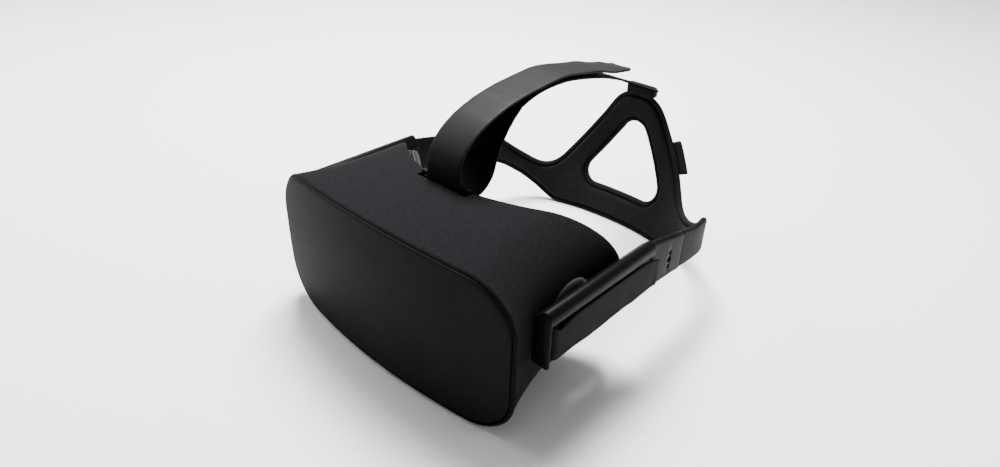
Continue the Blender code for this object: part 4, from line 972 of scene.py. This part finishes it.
def make_cable_loop():
    """The flat fabric loop on the left band that the lead is held by: one fold of webbing, sewn down."""
    base = PAD_THICK + PAD_GAP + CRADLE_SHELL + 0.8
    section = filleted([(-1.1, 0.0), (1.1, 0.0), (2.5, 6.0), (0.3, 6.0)], (0.3, 0.3, 0.9, 0.9), 4)
    loops = []
    for z in np.linspace(46.0, 64.0, 13):
        edge = 0.85 if z in (46.0, 64.0) else 1.0
        u = 37.2 - 0.607 * (z - 50.0)
        ribs = 1.0 + 0.03 * math.cos(z * 4.0)
        loops.append([band_point(u + 0.6 + (s - 0.6) * edge * ribs, z, base + n) for s, n in section])
    loop = add_object("cable_tab", loft("cable_tab", loops))
    dress(loop, HOOK, ["cable_loop"], "cradle", 50.0)


# ---------------------------------------------------------------- top strap
OUTER_TAIL = [(211.0, 115.4), (200.0, 118.7), (189.0, 120.4), (169.0, 125.2), (154.0, 127.6), (134.5, 130.3)]
OUTER_TAIL += [(120.0, 129.7), (101.0, 127.7)]
OUTER_LOOP = [(101.0, 127.7), (86.5, 124.8), (72.0, 119.8), (61.5, 113.6), (55.2, 106.4), (52.9, 99.5)]
OUTER_LOOP += [(52.4, 93.0), (52.3, 89.4), (53.2, 87.4), (55.2, 86.7), (57.6, 86.2), (60.6, 84.2)]
OUTER_LOOP += [(64.8, 82.6), (69.6, 83.6)]
OUTER_LOOP += [(74.0, 86.9), (77.4, 91.8), (79.9, 99.4), (83.6, 106.8), (89.8, 115.2), (98.0, 122.9)]
INNER_MID = [(98.0, 122.9), (109.0, 126.2), (120.4, 127.6), (135.0, 127.6), (151.0, 125.4)]
INNER_REAR = [(151.0, 125.4), (168.0, 121.9), (183.0, 117.6), (194.5, 113.6), (206.0, 109.0), (219.0, 103.6)]
INNER_REAR += [(230.0, 99.2), (236.0, 96.4)]


def row_point(x, y, z):
    return (x * MM, (y - CENTRE_Y) * MM, z * MM)


def make_top_strap():
    """One coated band: a tail on top, the loop round the bar, and the inner layer back to the cradle."""

    def width(along):
        return STRAP_FAR

    def near_edge(along):
        return STRAP_NEAR - 9.0 * max(0.0, 1.0 - along / 0.12)

    def ripple(along, across):
        fade = max(0.0, 1.0 - along / 0.62)
        return fade * (0.55 * math.sin(17.0 * along + 2.6 * across) + 0.35 * math.sin(31.0 * along - across))

    pieces = {
        "strap_tail": (OUTER_TAIL, near_edge, ripple),
        "strap_loop": (OUTER_LOOP, lambda along: STRAP_NEAR, None),
        "strap_middle": (INNER_MID, lambda along: STRAP_NEAR, None),
        "strap_rear": (INNER_REAR, lambda along: STRAP_NEAR, None),
    }
    made = {}
    for name, (route, edge, wave) in pieces.items():
        path = smooth_path(route, 2.2)
        mesh = strip(name, path, STRAP_THICK, width, edge, False, wave, 10)
        made[name] = dress(add_object(name, mesh), STRAP, sharp=60.0)
        middle = sum((v.co for v in mesh.vertices), Vector()) / len(mesh.vertices)
        folded = name == "strap_loop"
        reverse_side(made[name], LOOP, lambda centre, normal: (
            towards_head(centre, normal) or folded and normal.dot(middle - centre) > 0))
    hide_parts("top_strap_front")
    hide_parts("top_strap_rear")
    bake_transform(made["strap_tail"])
    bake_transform(made["strap_middle"])
    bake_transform(made["strap_loop"])
    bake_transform(made["strap_rear"])


def make_strap_feet():
    """Two small blocks that close the notch beside the strap's loop."""
    for side, name in SIDES:
        foot = add_object(f"strap_foot_{name}", side_box(side, (12.75, 52.6, 85.5), (14.3, 56.5, 89.4)))
        dress(foot, RIM, body="visor")


def make_strap_clip():
    """The folded patch that joins the top strap to the cradle's peak; its ends are rolled."""
    corners = [(233.4, 90.4), (239.8, 90.4), (239.8, 95.8), (237.9, 98.4), (236.9, 96.4), (233.4, 96.6)]
    section = filleted(corners, (0.5, 0.8, 1.1, 0.5, 0.3, 0.4), 4)
    loops = []
    roll = 2.4
    near_end = STRAP_NEAR - roll
    far_turn = [STRAP_FAR + step for step in (0.0, 0.4, 1.2)]
    near_turn = [near_end - step for step in (1.2, 0.4, 0.0)]
    for x in (*far_turn, *np.linspace(-9, 7, 9), *near_turn):
        edge = 0.6 + 0.4 * elliptic(min(x - STRAP_FAR, near_end - x) / roll)
        loops.append([(x, 236.6 + (y - 236.6) * edge, 95.4 + (z - 95.4) * edge) for y, z in section])
    clip = add_object("strap_patch", loft("strap_patch", loops))
    dress(clip, HOOK, ["strap_clip"], "cradle", 50.0)


# ---------------------------------------------------------------- materials of the CAD pieces that stay
KEPT = {
    "tracking_frame": DARK, "body_shell": DARK, "chassis": DARK, "main_board": BOARD,
    "heat_spreader": ALUMINIUM, "ipd_rail_upper": STEEL, "ipd_rail_lower": STEEL, "ipd_pinion": BRASS, "ipd_rack_left": DARK,
    "ipd_rack_right": DARK, "ipd_slider": DARK, "proximity_sensor": SCREEN, "cable_socket": DARK,
    "strap_bracket": RIM,
}
for number in range(1, 5):
    KEPT[f"chassis_screw_{number}"] = STEEL
for _, label in SIDES:
    KEPT.update({
        f"display_{label}": SCREEN, f"lens_barrel_{label}": DARK, f"strap_bar_{label}": DARK,
        f"arm_cover_{label}": DARK, f"arm_screw_{label}": STEEL, f"strap_carriage_{label}": STEEL,
        f"arm_spring_{label}": STEEL, f"audio_contacts_{label}": BRASS,
    })
for node, finish in KEPT.items():
    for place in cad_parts[node].material_slots:
        place.material = finish


# ---------------------------------------------------------------- stage, lights and camera
def make_stage():
    bm = bmesh.new()
    bmesh.ops.create_grid(bm, x_segments=2, y_segments=2, size=4.0)
    mesh = bpy.data.meshes.new("floor")
    bm.to_mesh(mesh)
    bm.free()
    floor = add_object("floor", mesh)
    material, tree, shader = new_material("floor", (0.84, 0.835, 0.835), 0.75)
    bumped(tree, shader, [(noise(tree, 60.0), 0.1, 0.5)])
    mesh.materials.append(material)
    world = bpy.data.worlds.new("studio")
    world.use_nodes = True
    light = world.node_tree
    place = light.nodes.new("ShaderNodeTexCoord")
    split = light.nodes.new("ShaderNodeSeparateXYZ")
    light.links.new(place.outputs["Generated"], split.inputs["Vector"])
    high = spread(light, split.outputs["Z"], SKY_LOW, SKY_HIGH, 0.0, 0.8)
    towards = add_node(light, "ShaderNodeVectorMath", operation="DOT_PRODUCT")
    towards.inputs[1].default_value = (0.65, -0.75, 0.0)
    light.links.new(place.outputs["Generated"], towards.inputs[0])
    room = spread(light, towards.outputs["Value"], WALL, ROOM, -0.5, 0.7)
    strength = combine_values(light, "MULTIPLY", high, room)
    light.links.new(strength, light.nodes["Background"].inputs["Strength"])
    light.nodes["Background"].inputs["Color"].default_value = (0.97, 0.975, 1.0, 1.0)
    bpy.context.scene.world = world
    lamps = {
        "top": ((-0.32, 0.30, 1.0), (0.0, 0.0, 0.0), 0.5, 0.45, 56.0),
        "left": ((-0.9, -0.2, 0.6), (0.0, -0.05, 0.03), 0.6, 0.6, 8.0),
        "right": ((0.9, 0.5, 0.5), (-0.05, 0.0, 0.05), 0.5, 0.5, 1.5),
    }
    for name, (place, target, width, height, power) in lamps.items():
        data = bpy.data.lights.new(name, "AREA")
        data.shape, data.size, data.size_y, data.energy = "RECTANGLE", width, height, power
        lamp = bpy.data.objects.new(name, data)
        lamp.location = place
        lamp.rotation_euler = (Vector(target) - Vector(place)).to_track_quat("-Z", "Y").to_euler()
        bpy.context.scene.collection.objects.link(lamp)


def make_camera():
    data = bpy.data.cameras.new("camera")
    data.lens, data.sensor_width, data.shift_x, data.clip_start = 25.24, 36.0, 0.0105, 0.01
    camera = bpy.data.objects.new("camera", data)
    right = Vector((0.7242, 0.6892, 0.0225)).normalized()
    forward = Vector((-0.5793, 0.6257, -0.5223)).normalized()
    up = right.cross(forward)
    turn = Matrix((right, up, -forward)).transposed().to_4x4()
    camera.matrix_world = Matrix.Translation((0.2343, -0.2865, 0.2557)) @ turn
    bpy.context.scene.collection.objects.link(camera)
    bpy.context.scene.camera = camera


make_camera()
make_plate()
make_shroud()
make_face_interface()
make_liner()
for side, label in SIDES:
    make_optics(side, label)
    make_pivot(side, label)
    make_housing(side, label)
    make_flap(side, label)
    make_rear_arm(side, label)
make_cradle()
make_cable_loop()
make_top_strap()
make_strap_feet()
make_strap_clip()
make_stage()
